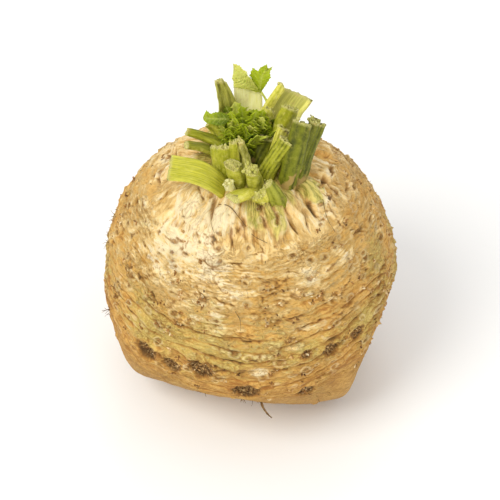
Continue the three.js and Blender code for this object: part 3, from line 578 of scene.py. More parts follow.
def ring_share(azimuth, count):
    """Where a count of rings lies as a share of the way down, with the rings' wander."""
    ease = smoothstep(0, 2.5, count) * (1 - smoothstep(RING_COUNT - 2.5, RING_COUNT, count))
    wave = np.sin(2 * azimuth + 0.35 * count) + 0.7 * np.sin(5 * azimuth - 0.6 * count + 1.3)
    wander = RING_WANDER * ease * (wave + 0.45 * np.sin(9 * azimuth + 1.1 * count))
    return RING_FIRST + (RING_LAST - RING_FIRST) * (count + wander) / RING_COUNT


class Skin:
    """The bulb's skin as a grid of rows and columns, with its relief and the fields that colour it."""

    def __init__(self):
        first = -RING_FIRST * RING_COUNT / (RING_LAST - RING_FIRST)
        last = RING_COUNT + (1 - RING_LAST) * RING_COUNT / (RING_LAST - RING_FIRST)
        stops = [first, SHOULDER_START, 0, RING_COUNT, last]
        counts = np.concatenate([
            np.linspace(low, high, rows)[1:] for low, high, rows in zip(stops, stops[1:], GRID_ROWS)
        ])
        turns = np.arange(GRID_COLUMNS) * 2 * math.pi / GRID_COLUMNS
        foot = foot_polar(turns)
        self.rows = len(counts)
        self.azimuth = np.tile(turns, self.rows)
        self.count = np.repeat(counts, GRID_COLUMNS)
        self.q = ring_share(self.azimuth, self.count)
        self.polar = np.tile(foot, self.rows) * self.q
        self.way = direction(self.azimuth, self.polar)
        self.plain = plain_radius(self.way)
        self.elevation = 90 - np.degrees(self.polar)
        self.place = BALL_RADIUS * self.way
        self.run = BALL_RADIUS * self.polar
        sway = np.stack([noise(self.place / 8, seed, 2) for seed in (501, 502, 503)], axis=-1)
        self.flow = np.stack([self.place[:, 0], self.place[:, 1], self.run], axis=-1) + 1.3 * sway
        round_crown = FAN_RADIUS * np.cos(self.azimuth), FAN_RADIUS * np.sin(self.azimuth)
        self.fan = np.stack([*round_crown, self.run], axis=-1) + 0.9 * sway
        self.upper = smoothstep(43, 54, self.elevation + 3 * sway[:, 0])
        self.height = np.zeros(len(self.q))
        self.under = smoothstep(-6, -24, self.elevation)
        self.cream, self.green, self.dark, self.stem, self.crumb, self.worn = np.zeros((6, len(self.q)))

    def streaks(self, along, across, seed, octaves=1):
        """Noise drawn out along the rings, and down from the crown on the petiole bases."""
        x, y, run = self.flow.T
        scaled = np.stack([x / along, y / along, run / across], axis=-1)
        ringed = noise(scaled, seed, octaves)
        fanned = noise(self.fan / [across, across, along], seed + 7, octaves)
        return (1 - self.upper) * ringed + self.upper * fanned

    def near(self, azimuth, elevation, reach):
        """Points within reach of a place, with their distances along the ring and down from it."""
        axis = towards(azimuth, elevation)
        east = unit(np.cross([0, 0, 1.0], axis))
        south = np.cross(east, axis)
        chosen = np.flatnonzero(self.way @ axis > math.cos(reach / BALL_RADIUS))
        offset = BALL_RADIUS * self.way[chosen]
        return chosen, offset @ east, offset @ south

    def scales(self):
        """Petiole bases on the shoulder, each with a rounded lower edge and a dark line of painted shade
        under it.
        """
        warp_turn = 0.06 * noise(self.place / 7, 91, 2)
        warp_q = 0.014 * noise(self.place / 6, 92, 2)
        grooves = noise(self.fan / [1.5, 1.5, 9], 93, 3)
        for azimuth, width, height, start, reach in FOLDS:
            turn = np.mod(self.azimuth - math.radians(azimuth) + math.pi, 2 * math.pi) - math.pi
            half = (reach - start) / 2
            across = np.abs(turn + warp_turn) / math.radians(width)
            down = np.maximum(0, self.q + warp_q - start - half) / half
            away = np.hypot(across, down)
            inside = (1 - smoothstep(0.66, 1.06, away)) * smoothstep(start - 0.04, start + 0.04, self.q)
            self.height += height * inside
            # The dark line just outside the lower edge is painted shade under the scale.
            line = bump(away, 1.08, 0.12) * smoothstep(start, start + 0.05, self.q)
            self.dark += 0.55 * line * np.clip(0.6 + 0.8 * noise(self.place / 5, 94), 0, 1.2)
            self.cream += 0.3 * inside
        zone = smoothstep(0.31, 0.2, self.q) * smoothstep(0.04, 0.1, self.q)
        self.height += 0.42 * grooves * zone
        self.dark += 0.42 * np.clip(-grooves - 0.15, 0, 1) * zone
        self.cream += 0.35 * grooves * zone
        for top_azimuth, top, low_azimuth, low, width in SLITS:
            share = (top - self.elevation) / (top - low)
            middle = np.radians(top_azimuth + (low_azimuth - top_azimuth) * share)
            turn = np.mod(self.azimuth - middle + math.pi, 2 * math.pi) - math.pi
            across = BALL_RADIUS * np.sin(self.polar) * turn + 0.7 * noise(self.place / 4, 95)
            length = smoothstep(-0.15, 0.25, share) * (1 - smoothstep(0.75, 1.15, share))
            slit = bump(across, 0, width * (0.6 + 0.5 * (1 - np.clip(share, 0, 1)))) * length
            self.height -= 1.4 * slit
            self.dark += 0.85 * slit
            self.stem -= 0.6 * slit

    def rings(self):
        """Sharp grooves at whole counts of rings, with finer ones between them."""
        x, y, run = self.flow.T
        sway = 0.16 * noise(np.stack([x / 9, y / 9, run / 5], axis=-1), 11, 2)
        count = self.count + sway
        gap = np.abs(count - np.round(count))
        dome = 1 - (1 - 2 * gap) ** 2.2
        belt = smoothstep(-0.5, 2, self.count) * (1 - smoothstep(RING_COUNT - 4, RING_COUNT, self.count))
        low = 0.45 + 0.75 * smoothstep(4.5, 7.5, self.count)
        strength = np.clip(0.72 + 0.85 * self.streaks(20, 5, 12), 0.1, 1.4) * low
        self.height += RING_HEIGHT * belt * strength * (2.1 * dome - 1.2)
        sharp = bump(gap, 0, 0.085) * belt * strength
        self.dark += 0.78 * sharp * smoothstep(3, 7, self.count)
        self.cream -= 0.3 * sharp
        fine = 3 * count + 0.5 * noise(self.place / 7, 13)
        patches = np.clip(0.5 + self.streaks(16, 6, 14), 0, 1)
        self.height -= 0.17 * patches * belt * np.cos(2 * math.pi * fine)
        self.dark += 0.4 * patches * belt * bump(np.abs(fine - np.round(fine)), 0, 0.13)
        self.cream += 0.3 * patches * belt * np.cos(2 * math.pi * fine + math.pi)

    def lumps(self):
        """Broad and small lumps, rough streaks, and two sets of fine creases."""
        x, y, z = self.way.T
        broad = np.sin(6.1 * x + 1.3) * np.sin(5.3 * y - 0.4) * np.sin(6.7 * z + 2.1)
        small = np.sin(13.7 * x + 4.1 * y) * np.sin(12.1 * y - 5.3 * z + 1) * np.sin(11.3 * z + 3.7 * x)
        self.height += LUMP_HEIGHT * (broad + 0.6 * small)
        rough = (1 - 0.72 * self.under) * (1 - 0.5 * self.upper)
        self.height += rough * 0.35 * noise(self.place / 7, 21, 2)
        self.height += rough * 0.42 * self.streaks(5.5, 1.9, 22, 2)
        self.height += rough * 0.16 * noise(self.place / 1.7, 23)
        for along, across, seed, depth in ((7, 2.6, 24, 0.5), (4, 1.7, 26, 0.3)):
            crease = bump(self.streaks(along, across, seed), 0, 0.11)
            patch = np.clip(0.35 + 1.3 * noise(self.place / 11, seed + 1), 0, 1)
            self.height -= depth * rough * crease * patch
            self.dark += 0.8 * depth * rough * crease * patch

    def patches(self):
        """Levels of cream and green, with the bare patches standing a little proud."""
        cream = np.interp(self.elevation, CREAM_ELEVATIONS, CREAM_LEVELS)
        cream += 0.42 * self.streaks(9, 3.4, 31, 2)
        cream += 0.16 * noise(self.place / 24, 32)
        cream -= 0.2 * (1 + np.cos(self.azimuth * 2)) / 2
        cream += 0.3 * bump(turned(np.degrees(self.azimuth), -148), 0, 32) * bump(self.elevation, 38, 24)
        for azimuth, elevation, radius, strength in CREAM_PATCHES:
            chosen, across, down = self.near(azimuth, elevation, 2.5 * radius)
            cream[chosen] += 0.75 * strength * np.exp(-((np.hypot(across, 1.2 * down) / radius) ** 2))
        self.cream += cream
        bare = self.cream + 0.25 * self.streaks(2.6, 1.1, 33)
        self.height += 0.25 * smoothstep(-0.1, 0.14, bare)
        green = 0.32 * bump(self.elevation, 8, 14) - 0.14 + 0.22 * noise(self.place / 16, 34)
        for azimuth, elevation, radius, strength in GREEN_PATCHES:
            chosen, across, down = self.near(azimuth, elevation, 2.5 * radius)
            green[chosen] += strength * np.exp(-((np.hypot(across, 1.3 * down) / radius) ** 2))
        self.green += green
        leafy = 0.95 * smoothstep(64, 76, self.elevation)
        ragged = self.elevation + 4 * noise(self.fan / [2, 2, 20], 35)
        for azimuth, spread, reach in GREEN_FANS:
            length = smoothstep(reach - 3, reach + 10, ragged)
            leafy = np.maximum(leafy, bump(turned(np.degrees(self.azimuth), azimuth), 0, spread) * length)
        self.stem += leafy

    def flakes(self):
        """Small plates of skin that overlap: each rises to one edge, with a dark line of painted shade
        under it.
        """
        rng = np.random.default_rng(41)
        lowest, highest = (math.sin(math.radians(elevation)) for elevation in FLAKE_ELEVATIONS)
        for _ in range(FLAKE_COUNT):
            azimuth = rng.uniform(-180, 180)
            elevation = even_elevation(rng, lowest, highest)
            length = rng.uniform(1.6, 5.0)
            width = rng.uniform(0.9, 2.2)
            tilt = rng.normal(0, 0.5)
            rise = rng.uniform(0.2, 0.75) + 0.5 * (rng.random() < 0.15)
            lower = 1 if rng.random() < 0.72 else -1
            if elevation > 46:
                tilt += math.pi / 2 * rng.choice([-1, 1])
                rise *= 0.5
            chosen, across, down = self.near(azimuth, elevation, length * 1.3)
            u = (across * math.cos(tilt) + down * math.sin(tilt)) / length
            v = (down * math.cos(tilt) - across * math.sin(tilt)) / width * lower
            away = np.hypot(u, v + 0.25 * u * u)
            inside = 1 - smoothstep(0.82, 1.02, away)
            self.height[chosen] += rise * inside * (0.3 + 0.7 * np.clip(v, -0.6, 1))
            # The dark line under the raised edge is painted shade; it also takes cream away.
            line = bump(away, 1.08, 0.17) * smoothstep(-0.1, 0.6, v)
            self.dark[chosen] += rng.uniform(0.25, 0.85) * line
            self.cream[chosen] += rng.uniform(-0.15, 0.35) * inside - 0.2 * line

    def pits(self):
        """Scars, broken side roots, knots, pits and gashes."""
        for azimuth, elevation, radius, depth in SCARS:
            self.scar(azimuth, elevation, radius, depth)
        for kind, azimuth, elevation, radius in MARKS:
            self.mark(kind, azimuth, elevation, radius)
        for azimuth, elevation, length, width in GASHES:
            self.gash(azimuth, elevation, length, width, 1.1)
        random = seeded_random(SEED)
        for i in range(STUB_COUNT):
            azimuth = i * GOLDEN + (next(random) - 0.5) * 0.5
            share = RING_FIRST + 0.04 + 0.58 * ((i + next(random)) / STUB_COUNT)
            radius = 1.3 + 1.5 * next(random) ** 2
            length = 0.5 + 0.9 * next(random)
            next(random)
            polar = foot_polar(np.array([azimuth]))[0] * share
            self.stub(math.degrees(azimuth), 90 - math.degrees(polar), radius, length)
        rng = np.random.default_rng(51)
        for _ in range(STRAY_MARKS):
            azimuth = rng.uniform(-180, 180)
            elevation = even_elevation(rng, *STRAY_HEIGHTS)
            kind = rng.choice(STRAY_KINDS)
            self.mark(kind, azimuth, elevation, rng.uniform(0.8, 1.9))
        for _ in range(STRAY_GASHES):
            azimuth = rng.choice(GASH_AZIMUTHS) + rng.normal(0, 26)
            elevation = rng.uniform(14, 60)
            length = rng.uniform(1.6, 4.5)
            width = rng.uniform(0.5, 1.1)
            self.gash(azimuth, elevation, length, width, rng.uniform(0.4, 0.9))

    def scar(self, azimuth, elevation, radius, depth):
        """A root scar: a raised rim round a sunken floor of torn fibres."""
        chosen, across, down = self.near(azimuth, elevation, 2 * radius)
        place = self.place[chosen]
        ragged = 0.2 * noise(place / 2.6, 61, 2)
        away = np.hypot(across, 1.2 * down) / radius + ragged
        floor = 1 - smoothstep(0.62, 0.92, away)
        fibres = noise(place / 1.25, 62, 2)
        rim = depth * 0.55 * bump(away, 1.05, 0.24)
        self.height[chosen] += rim - depth * 0.95 * floor + 0.8 * fibres * floor
        wear = min(1.0, 0.35 + 0.4 * depth)
        self.worn[chosen] = np.maximum(self.worn[chosen], wear * floor)
        self.dark[chosen] += wear * (1.1 * bump(away, 0.82, 0.13) + 0.9 * bump(away, 0.1, 0.3))
        self.cream[chosen] -= 0.6 * floor
        self.green[chosen] -= 0.7 * floor

    def stub(self, azimuth, elevation, radius, length):
        """A broken side root: a low mound with a dark middle."""
        chosen, across, down = self.near(azimuth, elevation, 2.2 * radius)
        away = np.hypot(across, down) / radius + 0.18 * noise(self.place[chosen] / 1.8, 63)
        self.height[chosen] += 0.8 * length * (1 - smoothstep(0.55, 1.1, away)) - 0.45 * bump(away, 0, 0.4)
        self.dark[chosen] += 0.5 * bump(away, 0, 0.45) + 0.42 * bump(away, 1.2, 0.2)
        self.crumb[chosen] += 0.8 * bump(away, 0.72, 0.22)

    def mark(self, kind, azimuth, elevation, radius):
        """A small mark of one of the kinds in MARKS and STRAY_KINDS."""
        chosen, across, down = self.near(azimuth, elevation, 2.4 * radius)
        place = self.place[chosen]
        ragged = noise(place / 1.6, 64, 2)
        away = np.hypot(across, 1.35 * down) / radius + 0.16 * ragged
        if kind in ("pit", "ring"):
            rim = 0.3 if kind == "ring" else 0.16
            self.height[chosen] += rim * bump(away, 0.95, 0.26) - 0.75 * bump(away, 0, 0.5)
            self.dark[chosen] += (0.95 if kind == "pit" else 0.7) * bump(away, 0, 0.48)
            self.cream[chosen] += (0.5 if kind == "ring" else 0.2) * bump(away, 0.95, 0.28)
        elif kind == "oval":
            self.height[chosen] -= 0.5 * (1 - smoothstep(0.6, 1, away))
            self.dark[chosen] += 0.42 * (1 - smoothstep(0.6, 0.95, away))
        elif kind == "cluster":
            self.height[chosen] += 1.1 * ragged * (1 - smoothstep(0.7, 1.1, away))
            self.dark[chosen] += (0.5 - 1.1 * ragged) * (1 - smoothstep(0.6, 1.2, away))
        elif kind == "knot":
            body = 1 - smoothstep(0.5, 1.1, away)
            self.height[chosen] += (0.6 + 1.0 * ragged) * body
            self.dark[chosen] += 0.9 * np.clip(-ragged + 0.1, 0, 1) * body + 0.5 * bump(away, 1.15, 0.22)
            self.crumb[chosen] += body * np.clip(0.3 + 1.4 * ragged, 0, 1)
        elif kind == "sliver":
            away = np.hypot(across / 1.35, 2.3 * down) / radius + 0.12 * ragged
            self.height[chosen] += 0.35 * (1 - smoothstep(0.75, 1.05, away))
            self.cream[chosen] += 0.7 * (1 - smoothstep(0.8, 1.05, away))
            self.dark[chosen] += 0.6 * bump(away, 1.12, 0.16)
        elif kind == "paleoval":
            away = np.hypot(across / 1.25, 1.5 * down) / radius + 0.1 * ragged
            self.height[chosen] -= 0.5 * (1 - smoothstep(0.7, 1.05, away))
            self.cream[chosen] += 1.5 * (1 - smoothstep(0.4, 0.85, away))
            self.dark[chosen] += 0.7 * bump(away, 0.95, 0.16) - 0.5 * (1 - smoothstep(0.5, 0.85, away))
            self.green[chosen] -= 0.8 * (1 - smoothstep(0.5, 0.9, away))
        else:
            self.dark[chosen] += 0.6 * bump(away, 0, 0.5)

    def gash(self, azimuth, elevation, length, width, depth):
        """A dark furrow along the rings, with a raised and paler rim."""
        chosen, across, down = self.near(azimuth, elevation, 1.6 * length)
        bent = down + 0.12 * across**2 / length + 0.5 * noise(self.place[chosen] / 3, 65)
        away = np.hypot(across / length, bent / width)
        self.height[chosen] += depth * (0.35 * bump(away, 1.1, 0.3) - bump(away, 0, 0.7))
        self.dark[chosen] += 0.85 * bump(away, 0, 0.75)
        self.cream[chosen] += 0.3 * bump(away, 1.2, 0.3)

    def points(self):
        """The skin's points, with no relief on the rim of the flat spot."""
        on_foot = 1 - smoothstep(0.9, 1, self.q)
        placed = self.way * (self.plain + self.height * on_foot)[:, None]
        placed[:, 2] += CENTRE_HEIGHT
        placed[-GRID_COLUMNS:, 2] = 0
        return placed


def grid_faces(rows, columns):
    """Faces of a closed skin: a pole, rows of columns, and a middle point for the flat foot."""
    faces = []
    for c in range(columns):
        faces.append((0, 1 + c, 1 + (c + 1) % columns))
    for r in range(rows - 1):
        top = 1 + r * columns
        for c in range(columns):
            d = (c + 1) % columns
            faces.append((top + c, top + columns + c, top + columns + d, top + d))
    last = 1 + (rows - 1) * columns
    for c in range(columns):
        faces.append((last + c, last + columns, last + (c + 1) % columns))
    return faces


def make_bulb(material):
    """Makes the bulb's piece, and gives the skin that hairs and crumbs stand on."""
    skin = Skin()
    skin.scales()
    skin.rings()
    skin.lumps()
    skin.patches()
    skin.flakes()
    skin.pits()
    placed = skin.points()
    top = placed[:GRID_COLUMNS].mean(0)
    points = np.concatenate([[top], placed, [[0, 0, 0]]])
    numbers = {
        "cream": skin.cream, "green": skin.green, "dark": skin.dark, "stem": skin.stem,
        "crumb": skin.crumb, "scar": skin.worn, "under": skin.under, "upper": skin.upper,
    }
    numbers = {key: np.concatenate([value[:1], value, value[-1:]]) for key, value in numbers.items()}
    vectors = {"flow": skin.flow, "fan": skin.fan}
    vectors = {key: np.concatenate([value[:1], value, value[-1:]]) for key, value in vectors.items()}
    faces = grid_faces(skin.rows, GRID_COLUMNS)
    make_piece("bulb", points, faces, material, ["root_bulb"], numbers, vectors)
    return skin


# Curves and tubes


def curve_through(route, steps):
    """Evenly spaced points and tangents on a centripetal Catmull-Rom curve through a route."""
    route = np.asarray(route, float)
    padded = np.vstack([2 * route[0] - route[1], route, 2 * route[-1] - route[-2]])
    dense = []
    for i in range(len(route) - 1):
        p0, p1, p2, p3 = padded[i : i + 4]
        d0, d1, d2 = (np.linalg.norm(b - a) ** 0.5 for a, b in ((p0, p1), (p1, p2), (p2, p3)))
        m1 = d1 * ((p1 - p0) / d0 - (p2 - p0) / (d0 + d1) + (p2 - p1) / d1)
        m2 = d1 * ((p2 - p1) / d1 - (p3 - p1) / (d1 + d2) + (p3 - p2) / d2)
        t = np.linspace(0, 1, 60, endpoint=i == len(route) - 2)[:, None]
        square = -3 * p1 + 3 * p2 - 2 * m1 - m2
        cube = 2 * p1 - 2 * p2 + m1 + m2
        dense.append(p1 + m1 * t + square * t**2 + cube * t**3)
    dense = np.vstack(dense)
    lengths = np.concatenate([[0], np.cumsum(np.linalg.norm(np.diff(dense, axis=0), axis=1))])
    at = np.linspace(0, lengths[-1], steps + 1)
    points = np.stack([np.interp(at, lengths, dense[:, k]) for k in range(3)], axis=-1)
    return points, unit(np.gradient(points, axis=0)), lengths[-1]


def ring_faces(rings, size, caps=True):
    """Faces of a tube of rings. A cap is a fan from a point that follows the rings: first, then last."""
    faces = []
    for r in range(rings - 1):
        for i in range(size):
            j = (i + 1) % size
            faces.append((r * size + i, r * size + j, (r + 1) * size + j, (r + 1) * size + i))
    if caps:
        tip = rings * size
        end = tip - size
        faces += [(tip, (i + 1) % size, i) for i in range(size)]
        faces += [(tip + 1, end + i, end + (i + 1) % size) for i in range(size)]
    return faces


def tube(route, radius, tip=0.4, sides=6, steps=12, wobble=0.0, seed=0):
    """Points and faces of a tapering round root, stem or hair."""
    points, along, _ = curve_through(route, steps)
    side = unit(np.cross(np.array([0.31, 0.87, 0.12]), along))
    third = np.cross(along, side)
    share = np.linspace(0, 1, steps + 1)
    size = radius * (1 - (1 - tip) * share)
    if wobble:
        size = size * (1 + wobble * noise(points * 0.9 + seed, 71))
        points = points + (wobble * radius * noise(points * 0.7, 72 + seed))[:, None] * side
    turns = np.arange(sides) * 2 * math.pi / sides
    rings = points[:, None] + size[:, None, None] * (
        side[:, None] * np.cos(turns)[None, :, None] + third[:, None] * np.sin(turns)[None, :, None]
    )
    made = np.vstack([rings.reshape(-1, 3), points[:1], points[-1:]])
    return made, ring_faces(steps + 1, sides)


# Petioles

# Each petiole: its route from foot to cut, its widths, thickness and curl (half its arc, in degrees) from
# foot to cut, and out, the way its ribbed face looks. ribs is how high its ribs stand. slant and tilt lean
# the cut sideways and outwards. On the cut lie as many broken bits as bits says, of bit_size. jag is how
# ragged the cut is, and hollow how deep it goes.
STALK_DEFAULTS = dict(ribs=0.15, tilt=0, bits=0, bit_size=0.3, jag=0.9, hollow=0.6)
STALKS = [
    dict(name="stalk_back_sheath", look="sheath", width=[14, 18.5], thick=[3.2, 2.4], curl=[50, 74],
         route=[[5, 7, 103], [8.8, 12, 112], [13, 17, 119.2], [18.1, 20.9, 125.6]],
         out=[0.35, 1, 0.1], slant=-0.22, jag=0.5),
    dict(name="stalk_back_narrow", look="bright", width=[4.6, 3.4], thick=[3.2, 2.4], curl=[40, 40],
         route=[[3.5, 10, 105], [4.6, 12.6, 114], [6.6, 15, 121.8], [13.2, 19, 131]],
         out=[0.3, -1, 0.3], slant=-0.3, ribs=0.12, bits=2, bit_size=0.4),
    dict(name="stalk_back_pale", look="pale", width=[12, 11.6], thick=[3.4, 2.2], curl=[45, 26],
         route=[[0, 10, 102], [0, 16.8, 110], [-0.6, 21.6, 118.8], [-0.9, 24.6, 126.4]],
         out=[0, 1, 0.1], slant=0.05, ribs=0.1, jag=0.6),
    dict(name="stalk_back_withered", look="withered", width=[7, 9.4, 8.6, 4], thick=[3.4, 1.8],
         curl=[60, 40],
         route=[[-7.5, 8, 104], [-9.2, 12, 115], [-9.6, 17, 124], [-11.8, 21, 131.6]],
         out=[-0.5, 0.9, 0], slant=0.3, jag=1.6),
    dict(name="stalk_left_upper", look="green", width=[7, 4], thick=[4.4, 3], curl=[40, 34],
         route=[[-6.5, 2, 104], [-11, 4.5, 112], [-18, 6, 115.2], [-25, 6, 117.8]],
         out=[-0.3, -0.3, -1], slant=0.3, jag=0.8),
    dict(name="stalk_left_lower", look="olive", width=[7, 3.8], thick=[4.4, 3], curl=[40, 34],
         route=[[-8, -2, 104], [-13, 0.3, 110.5], [-19, 1, 114], [-25.4, 1, 115.2]],
         out=[-0.3, -0.5, -1], slant=-0.2, jag=0.8),
    dict(name="stalk_left_stub", look="green", width=[9, 7], thick=[4, 3], curl=[50, 40],
         route=[[-9, 6.5, 102], [-11, 9, 110], [-13.6, 11, 114.4], [-16.8, 12, 117.3]],
         out=[-0.4, -0.6, -0.6], slant=0.2, jag=1.2),
    dict(name="stalk_left_arched", look="bright", width=[7.6, 9, 10.6, 10.8], thick=[4.6, 2.8],
         curl=[50, 28],
         route=[[-7, -12, 98], [-12, -16.5, 109], [-20, -17.5, 116], [-31.5, -14, 115.6]],
         out=[-0.45, 0.5, -0.9], slant=-0.12, ribs=0.05, jag=0.35),
    dict(name="stalk_left_flat", look="green", width=[9.5, 7.6], thick=[3.6, 2.6], curl=[40, 26],
         route=[[-7.5, -9, 99], [-10, -10.8, 109], [-11.4, -9.2, 116], [-11.8, -8, 122]],
         out=[-0.25, -1, 0.1], slant=0.05, ribs=0.02, jag=1.3),
    dict(name="stalk_right_tall", look="dark", width=[5.8, 6.8, 6.8], thick=[6, 5.4], curl=[60, 62],
         route=[[12, -12.5, 99], [14.4, -14.6, 109], [17, -12, 119.4], [20.6, -5.6, 132.2]],
         out=[-0.1, -1, 0.1], slant=-0.1, ribs=0.24, tilt=0.15, bits=9, bit_size=0.6, jag=0.6),
    dict(name="stalk_right_cut", look="dark", width=[3.8, 4.6], thick=[4.8, 4.6], curl=[56, 60],
         route=[[14.5, -10, 100], [17.2, -10.6, 110], [20.6, -7.4, 119.6], [25.2, -1.4, 130.2]],
         out=[0.7, -0.9, 0], slant=0.1, ribs=0.2, tilt=-0.3, bits=10, bit_size=0.6, jag=0.8),
    dict(name="stalk_right_dark", look="dark", width=[4.6, 5, 4.8], thick=[4.8, 4.2], curl=[58, 60],
         route=[[15.5, -8.5, 98], [19.2, -11, 107], [22.8, -6.4, 117.2], [27.6, 0.5, 126.6]],
         out=[1, -0.6, 0], slant=0.1, ribs=0.2, tilt=0.1, bits=8, bit_size=0.5, jag=1.0),
    dict(name="stalk_right_ribbed", look="ribbed", width=[8, 7], thick=[5, 4.6], curl=[52, 62],
         route=[[4.5, -9, 101], [6.8, -12, 111.5], [10.6, -10.8, 119.4], [14.8, -9.6, 126.4]],
         out=[0.3, -1, 0.1], slant=-0.15, ribs=0.3, tilt=0.1, bits=8, bit_size=0.6, jag=0.6, hollow=1.0),
    dict(name="stub_behind_ribbed", look="bright", width=[6.5, 4.6], thick=[4.6, 3.8], curl=[50, 56],
         route=[[8, -3, 104], [10.4, -3.4, 116], [11.8, -3, 121], [13.4, -2.4, 126.4]],
         out=[0.3, -1, 0.1], slant=-0.5, tilt=0.3, bits=8, bit_size=0.6, hollow=0.4),
    dict(name="stalk_mid_ribbed", look="dark", width=[8, 8.8], thick=[4.4, 3.6], curl=[55, 60],
         route=[[1.5, -4, 103], [3.7, -3.6, 110.5], [5.6, -1.6, 114.9], [7.8, 0, 119.4]],
         out=[0.1, -1, 0.1], slant=0.2, ribs=0.3, jag=1.0, hollow=1.4),
    dict(name="stalk_right_upper", look="green", width=[8, 6.4], thick=[5.6, 5], curl=[52, 56],
         route=[[8, 1.5, 103], [11, 3.6, 114], [13.2, 6, 122], [15.7, 8, 128.4]],
         out=[0.3, -0.9, 0.1], slant=-0.1, ribs=0.1, tilt=0.2, bits=8, bit_size=0.6),
    dict(name="stub_back_small", look="bright", width=[6, 4], thick=[4, 3.2], curl=[50, 50],
         route=[[4, 3.5, 103], [4.9, 6, 114], [6, 8.5, 120.4], [7.8, 11, 125]],
         out=[0.2, -0.9, 0.1], slant=-0.4, bits=4, bit_size=0.5),
    dict(name="stalk_mid_left", look="green", width=[5.5, 3.2], thick=[3.4, 2.6], curl=[40, 40],
         route=[[-4, -8, 102], [-5.6, -9.6, 111], [-6.3, -9, 118], [-6.7, -8, 124.4]],
         out=[-0.1, -1, 0], slant=0.1, ribs=0.1, bits=2, bit_size=0.4, jag=1.2),
    dict(name="stalk_mid_narrow", look="withered", width=[5, 4, 2.4], thick=[4, 3.2], curl=[45, 50],
         route=[[0.5, -6.5, 102], [-1.5, -8, 112], [-2.8, -7.8, 119], [-4.4, -7, 124.6]],
         out=[0, -1, 0], slant=-0.3, ribs=0.1, tilt=-0.2, bits=3, bit_size=0.4, jag=1.2),
    dict(name="stub_cut_left", look="fresh", width=[7.5, 5.4], thick=[5, 4.2], curl=[50, 64],
         route=[[-2, -12, 99], [-4.3, -15, 108], [-5.8, -16, 115], [-7.4, -16.2, 120.2]],
         out=[0.25, -1, -0.1], slant=-0.35, ribs=0.1, tilt=-0.7, bits=12, bit_size=0.5, jag=0.7,
         hollow=2.4),
    dict(name="stub_cut_middle", look="fresh", width=[9, 6.5, 3.8], thick=[5, 4.4], curl=[50, 60],
         route=[[3, -13, 98], [2.6, -17, 108.5], [1.2, -18, 114.6], [-0.4, -18.4, 119.8]],
         out=[0.5, -1, 0], slant=-0.2, ribs=0.1, tilt=-0.9, bits=26, bit_size=0.55, hollow=0.3),
    dict(name="stub_front_wedge", look="bright", width=[9, 7.4], thick=[5.4, 4.4], curl=[64, 66],
         route=[[2, -14, 98], [0.2, -19.5, 107.5], [-2.8, -23.6, 111], [-6.9, -27.4, 112.2]],
         out=[0.3, -0.4, -1], slant=0.1, ribs=0.05, tilt=-0.5, jag=0.5, hollow=1.2),
    dict(name="stub_front_low", look="bright", width=[9, 7.6], thick=[4.2, 3.4], curl=[54, 66],
         route=[[5, -17, 96], [5, -21, 104], [4.2, -23, 108.4], [2.9, -24.6, 111.8]],
         out=[0.1, -1, -0.3], slant=0.1, tilt=-0.2, bits=14, bit_size=0.5, jag=0.6, hollow=1.2),
    dict(name="stub_right_low", look="low", width=[9.5, 4], thick=[4.2, 3], curl=[45, 45],
         route=[[13, -19.5, 96], [12, -22.4, 103.4], [9.6, -23, 110], [6.9, -22.8, 116]],
         out=[0.3, -1, 0.4], slant=0.3, ribs=0.3, bits=8, bit_size=0.45, jag=0.8),
    dict(name="stub_left_low", look="pale", width=[5, 2.8], thick=[3.8, 2.8], curl=[50, 55],
         route=[[-6.5, -14, 99], [-7.4, -17.4, 107.5], [-8, -20.2, 114.4]],
         out=[-0.3, -1, 0], slant=0.3, ribs=0.05, tilt=-0.3, bits=10, bit_size=0.5),
    dict(name="stub_back_right", look="green", width=[10, 7], thick=[4.4, 3.4], curl=[50, 50],
         route=[[12, 7, 99], [15.5, 10.5, 107], [19, 13.5, 114]],
         out=[0.8, 0.6, 0], slant=0.2, bits=4, bit_size=0.5),
    dict(name="stub_back_left", look="green", width=[10, 7], thick=[4.4, 3.2], curl=[50, 50],
         route=[[-3, 16, 99], [-4.5, 21, 107], [-5.5, 24.5, 113]],
         out=[-0.1, 1, 0], slant=0.2, bits=4, bit_size=0.5),
]

# Looks that take another look's slot name.
SHARED_SLOTS = {"sheath": "bright", "ribbed": "bright", "fresh": "bright", "low": "green", "olive": "dark"}

# Tints of each look: the body, a bright tint that is also painted light on the rib crests, a deep tint that
# is also painted shade in the grooves between the ribs, and the pale foot.
PETIOLE_TINTS = {
    "bright": ("c3be3a", "e6de6e", "8a8c1c", "ebe29c"),
    "green": ("959818", "c6c23e", "5a5f0b", "d8ce70"),
    "fresh": ("9a9a22", "cbc650", "5c6010", "dcd488"),
    "low": ("7c801c", "a6a63a", "4d500e", "a8a04c"),
    "dark": ("474c05", "7a7e1a", "2f3504", "969238"),
    "olive": ("86871a", "b3ae40", "4c4f0a", "d2c878"),
    "ribbed": ("6c710b", "aead30", "3c4206", "c4bd62"),
    "sheath": ("c8c45e", "ece67c", "9c9844", "eae29c"),
    "pale": ("f3efaf", "fbf7d2", "e2de8a", "f8f2cc"),
    "withered": ("a5a23c", "d0c872", "696b20", "ddd494"),
}

# The grid of a petiole: rings along it, steps across each face, and rows over the cut.
STALK_STEPS = 46
ACROSS_STEPS = 26
CAP_ROWS = 5
FINE_RIBS = 7
BROAD_RIBS = 3
BASE_FLARE = 1.25


